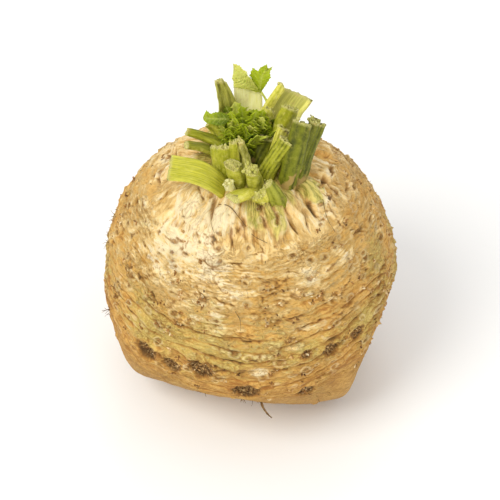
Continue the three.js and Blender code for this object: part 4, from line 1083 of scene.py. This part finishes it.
def stalk_section(stalk, t, middle, axes, seed):
    """One ring of a petiole: the ribbed face, then the hollow one, with what its material needs."""
    along, outward, across = axes
    widths = stalk["width"]
    flare = 1 + (BASE_FLARE - 1) * (1 - smoothstep(0, 0.5, t))
    width = np.interp(t, np.linspace(0, 1, len(widths)), widths) * flare
    width *= 1 + 0.1 * noise(np.array([[2.6 * t, seed, 0.5]]), 89)[0]
    middle = middle + 0.5 * t * noise(np.array([[2.2 * t, seed, 9.5]]), 90)[0] * across
    thick = np.interp(t, [0, 1], stalk["thick"])
    curl = math.radians(np.interp(t, [0, 1], stalk["curl"]))
    bend = width / (2 * curl)
    s = np.linspace(-1, 1, ACROSS_STEPS + 1)
    flat = np.ones(len(s))
    drift = 0.16 * noise(np.stack([s * 1.6, t * 1.5 * flat, seed * flat], axis=-1), 87)
    count = FINE_RIBS if stalk["name"].endswith("_ribbed") else BROAD_RIBS
    rib_wave = np.abs(np.cos(math.pi * count * (s + drift) / 2)) ** 0.6
    rib_height = (0.03 + 0.85 * stalk["ribs"]) * (rib_wave - 0.55)
    body = np.sqrt(1 - 0.82 * s * s)
    outer = thick / 2 * body + rib_height * (0.35 + 0.65 * t ** 0.3)
    inner = -thick / 2 * body
    halves = np.concatenate([outer, inner[::-1]])
    places = np.concatenate([s, s[::-1]])
    both = np.ones(len(places))
    wave = 1.2 if stalk["look"] == "withered" else 0.4
    rough = wave * noise(np.stack([places * 1.6, halves * 0.3, t * 4 * both], axis=-1) + seed, 81, 2)
    reach = bend + halves + rough
    sideways = reach * np.sin(curl * places)
    outwards = reach * np.cos(curl * places) - bend * math.cos(curl * 0.5)
    onward = smoothstep(0.55, 1, t) * (stalk["slant"] * sideways + stalk["tilt"] * outwards)
    ring = middle + sideways[:, None] * across + outwards[:, None] * outward + onward[:, None] * along
    shown = min(1, stalk["ribs"] / 0.28)
    margin = 0.45 + (0.55 if stalk["look"] == "sheath" else 0.12) * smoothstep(0.7, 0.95, np.abs(s))
    rib = np.concatenate([0.5 + (rib_wave - 0.5) * shown, margin])
    inside = np.repeat([0.0, 1.0], len(s))
    return ring, rib, inside, np.stack([places * width / 2, 3 * inside, np.zeros(len(places))], axis=-1)


def crumb(centre, size, seed):
    """A small broken bit: a rough closed lump."""
    rows, columns = 5, 7
    polar = np.repeat(np.arange(1, rows + 1) * math.pi / (rows + 1), columns)
    azimuth = np.tile(np.arange(columns) * 2 * math.pi / columns, rows)
    way = np.vstack([[0, 0, 1], direction(azimuth, polar), [0, 0, -1]])
    rough = 1 + 0.45 * noise(way * 1.7 + seed, 82)
    return centre + size * rough[:, None] * way, grid_faces(rows, columns)


def stalk_rings(stalk, index, middles, alongs, length):
    """The rings of a petiole with their ribs, hollow sides and grain. The last one is ragged."""
    made = []
    for i in range(STALK_STEPS + 1):
        t = i / STALK_STEPS
        along = alongs[i]
        outward = unit(stalk["out"])
        outward = unit(outward - (outward @ along) * along)
        axes = along, outward, np.cross(along, outward)
        ring, rib, inside, grain = stalk_section(stalk, t, middles[i], axes, index * 5.3)
        if i == STALK_STEPS:
            shift = np.full(len(rib), index * 3.1)
            jag = noise(np.stack([grain[:, 0] * 0.9, grain[:, 1], shift], axis=-1), 83, 3)
            ring = ring + (stalk["jag"] * jag)[:, None] * along
        grain[:, 2] = t * length
        made.append((ring, rib, inside, grain))
    return zip(*made)


def cut_rows(ring, grain, hollow, along):
    """Rows of points over the cut, from the ribbed edge to the hollow one, with their grain."""
    half = ACROSS_STEPS + 1
    points, grains = [], []
    for row in range(1, CAP_ROWS + 1):
        share = row / (CAP_ROWS + 1)
        line = ring[:half] * (1 - share) + ring[half:][::-1] * share
        lift = 0.5 * noise(line * 0.8, 84, 2) - hollow * math.sin(math.pi * share)
        points.append(line + lift[:, None] * along)
        grains.append(grain[:half] * (1 - share) + grain[half:][::-1] * share)
    return points, grains


def stalk_faces():
    """Faces of a petiole: its rings, a fan at the foot, and the rows over the cut."""
    half = ACROSS_STEPS + 1
    size = 2 * half
    end = STALK_STEPS * size
    foot = end + size + CAP_ROWS * half
    faces = ring_faces(STALK_STEPS + 1, size, caps=False)
    faces += [(foot, (i + 1) % size, i) for i in range(size)]
    lines = [[end + k for k in range(half)]]
    lines += [[end + size + row * half + k for k in range(half)] for row in range(CAP_ROWS)]
    lines.append([end + size - 1 - k for k in range(half)])
    for upper, lower in zip(lines, lines[1:]):
        for k in range(half - 1):
            faces.append((upper[k], upper[k + 1], lower[k + 1], lower[k]))
    faces.append(tuple(line[0] for line in lines))
    faces.append(tuple(line[-1] for line in reversed(lines)))
    return faces


def make_stalk(stalk, index, material):
    """A petiole as one piece: its ribbed and hollow faces, its foot, and its cut with broken bits on it."""
    middles, alongs, length = curve_through(stalk["route"], STALK_STEPS)
    rings, ribs, insides, grains = stalk_rings(stalk, index, middles, alongs, length)
    rows, row_grains = cut_rows(rings[-1], grains[-1], stalk["hollow"], alongs[-1])
    points = np.vstack([*rings, *rows, middles[:1]])
    on_cut = np.ones(CAP_ROWS * (ACROSS_STEPS + 1))
    share = np.concatenate([np.repeat(np.linspace(0, 1, STALK_STEPS + 1), len(rings[0])), on_cut, [0]])
    torn = 0.45 * noise(points * 0.35 + index, 85, 2) + 0.5 * smoothstep(0.9, 1.0, share)
    if stalk["look"] == "dark":
        torn = torn + 0.75 * smoothstep(0.5, 0.3, share + 0.25 * noise(points * 0.4, 88))
    numbers = {
        "along": share,
        "rib": np.concatenate([*ribs, 0.5 * on_cut, [0.5]]),
        "inner": np.concatenate([*insides, np.zeros(len(on_cut) + 1)]),
        "cut": smoothstep(0.955, 1.0, share),
        "torn": torn,
    }
    grain = np.vstack([*grains, *row_grains, [[0, 0, 0]]]) + [index * 11.0, 0, 0]
    build = Build()
    build.add(points, stalk_faces(), numbers, {"grain": grain})
    rng = np.random.default_rng(100 + index)
    cut = np.vstack([rings[-1], *rows])
    for _ in range(stalk["bits"]):
        centre = cut[rng.integers(len(cut))] + rng.normal(0, 0.25, 3) + alongs[-1] * rng.uniform(-0.4, 0.3)
        bit, bit_faces = crumb(centre, stalk["bit_size"] * rng.uniform(0.5, 1.5), rng.uniform(0, 50))
        rib = rng.random()
        fresh = rng.uniform(0.3, 1)
        numbers = {"along": 1.0, "rib": rib, "inner": 0.0, "cut": fresh, "torn": rng.uniform(-0.2, 0.3)}
        build.add(bit, bit_faces, numbers, {"grain": bit})
    slot = "stalk_" + SHARED_SLOTS.get(stalk["look"], stalk["look"])
    build.piece(stalk["name"] + "_form", slot, material, [stalk["name"]])


# Leaves

# A stem is a route from its foot up. A leaflet's rows hold three points across it, each as onward and
# sideways: its far edge, its rib and its near edge.
TOP_STEM = [[2, 9.5, 106], [6.6, 13.5, 114.5], [6.9, 18.5, 122], [4.2, 21.4, 126.2]]
TOP_LEAFLETS = [
    dict(
        base=[4.1, 21.5, 125.2], along=[-0.78, 0.05, 0.62], across=[0.62, -0.1, 0.78], arch=0.9, fold=0.12,
        tone=0.88,
        rows=[
            [1.0, 0.8, 0.6, 0, 1.0, -0.5], [4.0, 2.3, 2.5, 0, 2.6, -0.9], [6.5, 3.5, 4.5, 0, 4.4, -1.4],
            [8.4, 4.6, 6.5, 0, 6.2, -2.0], [9.8, 4.4, 8.3, 0, 8.2, -3.2],
            [11.2, 5.8, 10.0, 0.2, 10.2, -4.2], [13.0, 5.4, 11.7, 0.8, 11.6, -2.4],
            [15.0, 5.8, 13.6, 1.5, 13.2, -1.4], [17.4, 4.6, 15.6, 2.7, 14.4, 0.8],
        ],
    ),
    dict(
        base=[4.1, 21.3, 125.2], along=[0.05, 0.08, 1], across=[1, -0.25, 0], arch=0.8, fold=0.12,
        tone=0.42,
        rows=[
            [1.0, 0.6, 0.4, 0, 1.0, -0.6], [3.0, 1.5, 2.6, 0, 4.0, -2.6], [5.5, 2.6, 4.8, 0.1, 8.2, -4.5],
            [8.7, 4.0, 7.0, 0.3, 11.4, -3.7], [10.8, 3.5, 9.0, 0.6, 10.3, -1.4],
            [13.6, 4.4, 10.8, 1.4, 12.2, -0.5], [12.4, 3.1, 11.4, 2.2, 14.0, 1.9],
        ],
    ),
]
LEFT_STEM = [[-3, 0, 104], [-5.5, 2.5, 112.5], [-6.4, 4.2, 119], [-8.6, 5, 124.6]]
LEFT_LEAFLET = dict(
    base=[-8.0, 5, 124.9], along=[-1, 0, 0.06], across=[0.05, 0.6, 0.8], arch=0.9, fold=0.25, tone=0.22,
    rows=[
        [0.3, 0.6, 0.0, 0, 0.4, -0.8], [1.3, 2.0, 1.5, 0.1, 1.8, -1.7], [3.5, 2.7, 3.4, 0.1, 3.6, -2.5],
        [5.7, 2.7, 5.4, 0, 5.3, -2.6], [7.7, 1.9, 7.2, 0, 7.0, -2.2], [9.4, 3.2, 8.9, 0.1, 8.7, -2.1],
        [10.4, 1.0, 10.6, 0.1, 10.3, -0.9],
    ],
)
HEART_ROWS = [
    [0.0, 0.1, 0.0, 0, 0.0, -0.1], [0.26, 0.14, 0.2, 0, 0.26, -0.14], [0.5, 0.42, 0.38, 0, 0.46, -0.4],
    [0.5, 0.16, 0.5, 0, 0.5, -0.16], [0.78, 0.4, 0.66, 0, 0.74, -0.38], [0.8, 0.14, 0.82, 0, 0.8, -0.14],
    [0.98, 0.2, 0.98, 0, 0.96, -0.2], [1.1, 0.04, 1.14, 0, 1.1, -0.04],
]
HEART_X, HEART_Y = -0.3, 4.0
HEART_LEAFLETS = 7
SMALL_LEAFLETS = 104
BLADE_HALF = 0.2

# Single leaflets that stand out of the heart: base, direction, sideways, length, tone.
HEART_EXTRAS = [
    ([0.6, -2.4, 116.2], [0.28, -0.3, 1], [1, 0.3, 0.0], 8.6, 0.66),
    ([-2.2, 6.0, 121.0], [-0.15, 0.1, 1], [1, 0.2, 0.0], 8.2, 0.5),
    ([-6.2, 1.0, 117.0], [-0.35, -0.2, 1], [1, -0.3, 0.2], 6.4, 0.5),
    ([7.6, 1.6, 116.5], [0.5, -0.1, 1], [1, 0.4, 0.0], 6.2, 0.6),
]


def blade(
    base, along, across, arch, fold, rows, tone, size=1.0, steps=6, halves=5, teeth=0.12, seed=0.0,
    ruffle=0.0,
):
    """A leaflet with toothed edges, veins and a folded midrib, as a closed thin form."""
    onward = unit(along)
    sideways = np.asarray(across, float)
    sideways = unit(sideways - (sideways @ onward) * onward)
    normal = np.cross(sideways, onward)
    rows = np.asarray(rows, float)
    length = rows[-1, 2]
    at = np.linspace(0, len(rows) - 1, (len(rows) - 1) * steps + 1)
    fine = np.stack([np.interp(at, np.arange(len(rows)), rows[:, k]) for k in range(6)], axis=-1)
    inland = np.clip(np.minimum(at, len(rows) - 1 - at), 0, 1)
    jag = teeth * (np.abs(np.mod(2 * at, 1) - 0.5) * 2 - 0.5) * inland
    fine[:, 1] += jag * np.maximum(np.abs(fine[:, 1] - fine[:, 3]), 0.15)
    fine[:, 5] -= jag * np.maximum(np.abs(fine[:, 5] - fine[:, 3]), 0.15)
    u = np.linspace(-1, 1, 2 * halves + 1)
    share = np.abs(u)[None, :, None]
    far = fine[:, None, 0:2]
    mid = fine[:, None, 2:4]
    near = fine[:, None, 4:6]
    flat = np.where(u[None, :, None] < 0, mid + share * (far - mid), mid + share * (near - mid))
    bow = arch * np.sin(math.pi * np.minimum(flat[..., 0], length) / length)
    away = np.abs(flat[..., 1] - fine[:, None, 3])
    lift = bow + fold * size * away
    veins = np.abs(np.mod(at[:, None] - 1.1 * np.abs(u)[None], 1) - 0.5) * 2
    vein = np.maximum(bump(veins, 1, 0.16) * (1 - np.abs(u)[None] ** 3), bump(u, 0, 0.14)[None])
    centre = (
        np.asarray(base, float)
        + size * flat[..., :1] * onward
        + size * flat[..., 1:] * sideways
        + lift[..., None] * normal
    )
    wave = ruffle * noise(centre.reshape(-1, 3) * (2.2 / max(size, 1)) + seed, 86).reshape(lift.shape)
    centre = centre + (wave + 0.12 * vein - 0.05)[..., None] * normal
    thin = BLADE_HALF * (1 - 0.6 * np.abs(u) ** 3)[None, :, None]
    top = centre + thin * normal
    under = (centre - thin * normal)[:, ::-1]
    rings = np.concatenate([top, under], axis=1)
    count, size_ring = rings.shape[:2]
    points = np.vstack([rings.reshape(-1, 3), rings[0].mean(0)[None], rings[-1].mean(0)[None]])
    both = np.concatenate([vein, vein[:, ::-1]], axis=1).ravel()
    tip = np.broadcast_to((flat[..., 0] / length - 0.5) * 0.3, lift.shape)
    numbers = {
        "vein": np.concatenate([both, [1, 0]]),
        "tone": tone + np.concatenate([np.concatenate([tip, tip[:, ::-1]], axis=1).ravel(), [0, 0]]),
    }
    return points, ring_faces(count, size_ring), numbers


def make_leaves(material):
    """The torn leaf at the top, and the leaflet at the left."""
    top = Build()
    top.add(*tube(TOP_STEM, 0.9, 0.45, 8, 18), {"vein": 0.7, "tone": 0.8})
    for index, leaflet in enumerate(TOP_LEAFLETS):
        top.add(*blade(**leaflet, steps=8, halves=8, seed=index * 7.0, ruffle=0.35))
    top.piece("leaf_top_form", "leaf_green", material, ["leaf_top"])
    left = Build()
    left.add(*tube(LEFT_STEM, 1.0, 0.45, 8, 18), {"vein": 0.7, "tone": 0.7})
    left.add(*blade(**LEFT_LEAFLET, steps=8, halves=7, ruffle=0.3))
    left.piece("leaf_left_form", "leaf_green", material, ["leaf_left"])


def make_heart(material):
    """The tuft of young leaves: a core, a whorl of larger leaflets, many small ones, and single ones."""
    heart = Build()
    x, y = HEART_X, HEART_Y
    core = tube([[x, y, 104], [x, y, 112], [x, y, 119]], 4.2, 0.55, 12, 8, 0.1)
    heart.add(*core, {"vein": 0.0, "tone": 0.1})
    random = seeded_random(SEED + 1)
    for i in range(HEART_LEAFLETS):
        turn = i * GOLDEN + 0.6
        spread = 0.15 + 0.85 * math.sqrt((i + 0.5) / HEART_LEAFLETS)
        way = np.array([math.cos(turn), math.sin(turn), 0])
        base = np.array([x, y, 120 - 7 * spread]) + way * (1 + 2.6 * spread)
        lean = 0.25 + 1.05 * spread * (0.8 + 0.4 * next(random))
        across = [-way[1], way[0], 0.8 * (next(random) - 0.5)]
        size = 8.5 + 3 * next(random)
        tone = 0.2 + 0.45 * ((i * 3) % 7) / 6
        along = way * lean + [0, 0, 1]
        heart.add(*blade(base, along, across, -1.3, 0.3, HEART_ROWS, tone, size, 6, 5, 0.35, i * 3.0, 0.5))
    rng = np.random.default_rng(9)
    for i in range(SMALL_LEAFLETS):
        turn = i * GOLDEN
        spread = math.sqrt((i + 0.5) / SMALL_LEAFLETS)
        way = np.array([math.cos(turn), math.sin(turn), 0])
        base = np.array([x, y, 120.2 - 7 * spread**2]) + way * (0.4 + 8.2 * spread) + rng.normal(0, 0.5, 3)
        lean = rng.uniform(-0.3, 0.3) + 0.55 * spread
        swing = rng.uniform(-0.8, 0.8)
        across = np.array([1, 0, 0]) * math.cos(swing) + np.array([0, 1, 0.3]) * math.sin(swing)
        size = rng.uniform(4.6, 7.8) * (1.3 if i % 6 == 0 else 1.0)
        along = way * lean + [0, -0.05, 1]
        if base[0] > x + 2.2 and base[1] < y - 1.5:
            continue
        # Painted light: small leaflets further right get a darker tone and higher ones a lighter tone.
        tone = np.clip(0.42 - 0.02 * (base[0] - x) + 0.03 * (base[2] - 118) + rng.normal(0, 0.22), 0, 0.75)
        heart.add(*blade(base, along, across, -0.5, 0.3, HEART_ROWS, tone, size, 3, 4, 0.45, i * 1.7, 0.3))
    for place, along, across, size, tone in HEART_EXTRAS:
        heart.add(*blade(place, along, across, -0.7, 0.5, HEART_ROWS, tone, size, 6, 5, 0.25, size, 0.3))
    heart.piece("leaf_heart_form", "leaf_green", material, ["leaf_heart"])


# Rootlets, hairs and fibres

ROOTLETS = [
    (0.6, [[3.5, -50, 27], [5, -55.6, 24.5], [6.6, -55.2, 20], [8.8, -53, 14.5]]),
    (0.7, [[20, 50, 36], [21, 57.6, 33.5], [22, 57.8, 29], [23.5, 56, 24.5]]),
    (0.6, [[-38, 34, 32], [-43.4, 38.4, 30.2], [-42.6, 39.4, 26], [-40, 40.6, 22]]),
]

# Tufts of root hairs: azimuth, elevation, how many, length.
TUFTS = [
    (-164, -9, 9, 4.0), (-178, 17, 10, 3.6), (174, 22, 7, 3.0), (160, 46, 5, 2.6), (-92, -22, 6, 2.4),
    (-108, -20, 5, 2.2), (-60, -24, 5, 2.0), (-4, 24, 4, 2.0), (-14, 10, 4, 1.8), (84, 6, 7, 3.2),
    (60, -12, 8, 3.5), (112, -8, 8, 3.4), (158, -14, 6, 3.0), (5, -15, 5, 2.4), (-134, -4, 7, 1.6),
    (-122, -5, 7, 1.6), (-110, -1, 7, 1.6), (-91, -10, 7, 1.6), (-111, 30, 4, 1.8), (-81, 35, 4, 1.6),
]

LOOSE_HAIRS = 90
CUT_HAIRS = 46

# Long fibres that lie on the skin: radius, then azimuth and elevation of each point.
FIBRES = [
    (0.2, [(-118, 65), (-107, 64.5), (-97, 61), (-88, 55), (-80, 52)]),
    (0.17, [(-96, 27), (-94, 24), (-93.5, 20)]),
    (0.16, [(-119, 62), (-116, 57), (-112, 54)]),
    (0.15, [(-33, 58), (-37, 52), (-38, 46)]),
]


def crumb_material():
    """Bits of torn skin, brown to cream by tone."""
    s = Shader("torn_skin")
    place = s.node("ShaderNodeTexCoord").outputs["Object"]
    fine = s.noise(place, 1500.0, 3.0, 0.6)
    tone = s.add(s.read("tone"), s.centred(fine, 0.5))
    base = s.bands(tone, [(0.0, "5d3c1a"), (0.4, "a9783c"), (0.7, "d4ae70"), (1.0, "f0dcae")])
    return s.finish(base, 0.75, s.bump(fine, 0.0002, 0.6), 0.05)


def make_crumbs(skin, look):
    """Bits of torn skin that stand up round knots and in scars."""
    rng = np.random.default_rng(71)
    spots = [tuple(place) for kind, *place in MARKS if kind in ("knot", "cluster")]
    spots += [(azimuth, elevation, 0.75 * radius) for azimuth, elevation, radius, _ in SCARS]
    for _ in range(STRAY_CRUMBS):
        elevation = even_elevation(rng, -0.25, 0.8)
        spots.append((rng.uniform(-180, 180), elevation, rng.uniform(0.5, 1.3)))
    build = Build()
    for azimuth, elevation, radius in spots:
        spread = math.degrees(0.6 * radius / BALL_RADIUS)
        tone = rng.uniform(0.25, 0.7)
        for _ in range(int(3 + 2.6 * radius)):
            size = rng.uniform(0.16, 0.42)
            turn = azimuth + rng.normal(0, spread) / math.cos(math.radians(elevation))
            centre = skin_point(skin, turn, elevation + rng.normal(0, 0.8 * spread), 0.3 * size)
            bit, bit_faces = crumb(np.zeros(3), size, rng.uniform(0, 50))
            long_way = unit(rng.normal(0, 1, 3))
            bit = centre + bit + 1.3 * (bit @ long_way)[:, None] * long_way
            build.add(bit, bit_faces, {"tone": np.clip(tone + rng.normal(0, 0.22), 0, 1)})
    build.piece("skin_crumbs", "bulb_skin", look)


def skin_point(skin, azimuth, elevation, out=0.0):
    """A point on the finished skin, or outside it by out."""
    axis = towards(azimuth, elevation)
    nearest = int(np.argmax(skin.way @ axis))
    return axis * (skin.plain[nearest] + skin.height[nearest] + out) + [0, 0, CENTRE_HEIGHT]


def make_roots(skin, look):
    """The rootlets, the root hairs and the long fibres."""
    rootlets = Build()
    for index, (radius, route) in enumerate(ROOTLETS):
        rootlets.add(*tube(route, radius, 0.4, 8, 26, 0.25, index * 4))
    rootlets.piece("rootlets", "bulb_skin", look)
    rng = np.random.default_rng(61)
    hairs = Build()
    spots = []
    for azimuth, elevation, many, length in TUFTS:
        spots += [(azimuth, elevation, length)] * many
    for _ in range(LOOSE_HAIRS):
        spots.append((rng.uniform(-180, 180), rng.uniform(-20, 50), rng.uniform(0.8, 1.8)))
    for azimuth, elevation, length in spots:
        azimuth = azimuth + rng.normal(0, 2.0)
        elevation = elevation + rng.normal(0, 1.6)
        axis = towards(azimuth, elevation)
        lean = unit(axis * rng.uniform(0.35, 0.9) + rng.normal(0, 0.55, 3) + [0, 0, -0.2])
        start = skin_point(skin, azimuth, elevation, -0.5)
        long = length * rng.uniform(0.5, 1.1)
        middle = start + axis * 0.5 + lean * long * 0.5
        end = middle + unit(lean + rng.normal(0, 0.5, 3)) * long * 0.5
        hairs.add(*tube([start, middle, end], rng.uniform(0.1, 0.2), 0.4, 5, 7))
    for _ in range(CUT_HAIRS):
        base = np.array([rng.uniform(-1, 9.5), rng.uniform(-25.5, -23.5), rng.uniform(104, 108)])
        lean = unit([rng.normal(0, 0.4), -1, rng.uniform(-0.9, 0.1)])
        hairs.add(*tube([base, base + lean * 1.2, base + lean * 2.2 + [0, 0, -0.5]], 0.09, 0.4, 5, 6))
    hairs.piece("root_hairs", "bulb_skin", look)
    fibres = Build()
    for radius, route in FIBRES:
        placed = [skin_point(skin, azimuth, elevation, 1.0) for azimuth, elevation in route]
        fibres.add(*tube(placed, radius, 0.6, 6, 40, 0.5))
    fibres.piece("fibres", "bulb_skin", look)


# Studio, in metres

WORLD_STRENGTH = 0.72
LIGHT_AIM = Vector((0, 0, 0.06))

# Lights: name, place, size, power and tint.
LIGHTS = [
    ("key", (-0.68, -0.55, 1.0), 0.8, 10.2, (1.0, 0.98, 0.93)),
    ("fill", (1.0, -0.85, 0.35), 0.9, 5.0, (1.0, 0.98, 0.95)),
    ("back", (0.1, 0.9, 0.9), 0.8, 3.0, (1.0, 1.0, 1.0)),
]
FLOOR_HALF = 3

# The camera looks down at the part from the front.
CAMERA_AIM = Vector((0, 0, 0.059))
CAMERA_TILT = math.radians(43)
CAMERA_DISTANCE = 0.9
CAMERA_LENS = 156.6
SENSOR_WIDTH = 36


def make_studio():
    """Soft lights and a pale floor."""
    world = bpy.data.worlds.new("studio")
    bpy.context.scene.world = world
    world.use_nodes = True
    background = world.node_tree.nodes["Background"].inputs
    background["Color"].default_value = (1, 1, 1, 1)
    background["Strength"].default_value = WORLD_STRENGTH
    bpy.context.scene.view_settings.view_transform = "Standard"
    for name, place, size, power, tint in LIGHTS:
        light = bpy.data.lights.new(name, "AREA")
        light.shape = "DISK"
        light.size = size
        light.energy = power
        light.color = tint
        made = bpy.data.objects.new(name, light)
        made.location = place
        made.rotation_euler = (LIGHT_AIM - Vector(place)).to_track_quat("-Z", "Y").to_euler()
        bpy.context.scene.collection.objects.link(made)
    shader = Shader("studio_floor")
    place = shader.node("ShaderNodeTexCoord").outputs["Object"]
    cloud = shader.noise(place, 3.0, 2.0)
    shader.finish(shader.mix(cloud, "f4f4f3", "f7f7f6"), 0.9, shader.bump(cloud, 0.0001, 0.1))
    mesh = bpy.data.meshes.new("floor")
    corners = [(-1, -1), (1, -1), (1, 1), (-1, 1)]
    mesh.from_pydata([(FLOOR_HALF * x, FLOOR_HALF * y, 0) for x, y in corners], [], [(0, 1, 2, 3)])
    mesh.materials.append(shader.material)
    floor = bpy.data.objects.new("floor", mesh)
    bpy.context.scene.collection.objects.link(floor)


def make_camera():
    """The photo's view: a long lens that looks down at the crown."""
    camera = bpy.data.cameras.new("camera")
    camera.sensor_width = SENSOR_WIDTH
    camera.lens = CAMERA_LENS
    made = bpy.data.objects.new("camera", camera)
    back = Vector((0, -math.cos(CAMERA_TILT), math.sin(CAMERA_TILT)))
    made.location = CAMERA_AIM + CAMERA_DISTANCE * back
    made.rotation_euler = (-back).to_track_quat("-Z", "Y").to_euler()
    bpy.context.scene.collection.objects.link(made)
    bpy.context.scene.camera = made


make_camera()
skin_look = skin_material()
hair_look = fibre_material("root_hair", "8a6a3c", "5f4424")
leaf_look = leaf_material()
petiole_looks = {
    look: petiole_material("petiole_" + look, *tints) for look, tints in PETIOLE_TINTS.items()
}
skin = make_bulb(skin_look)
for index, stalk in enumerate(STALKS):
    make_stalk({**STALK_DEFAULTS, **stalk}, index, petiole_looks[stalk["look"]])
make_leaves(leaf_look)
make_heart(leaf_look)
make_roots(skin, hair_look)
make_crumbs(skin, crumb_material())
make_studio()

left_out = [name for name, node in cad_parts.items() if not node.hide_render]
if left_out:
    raise RuntimeError("no piece stands for " + ", ".join(left_out))
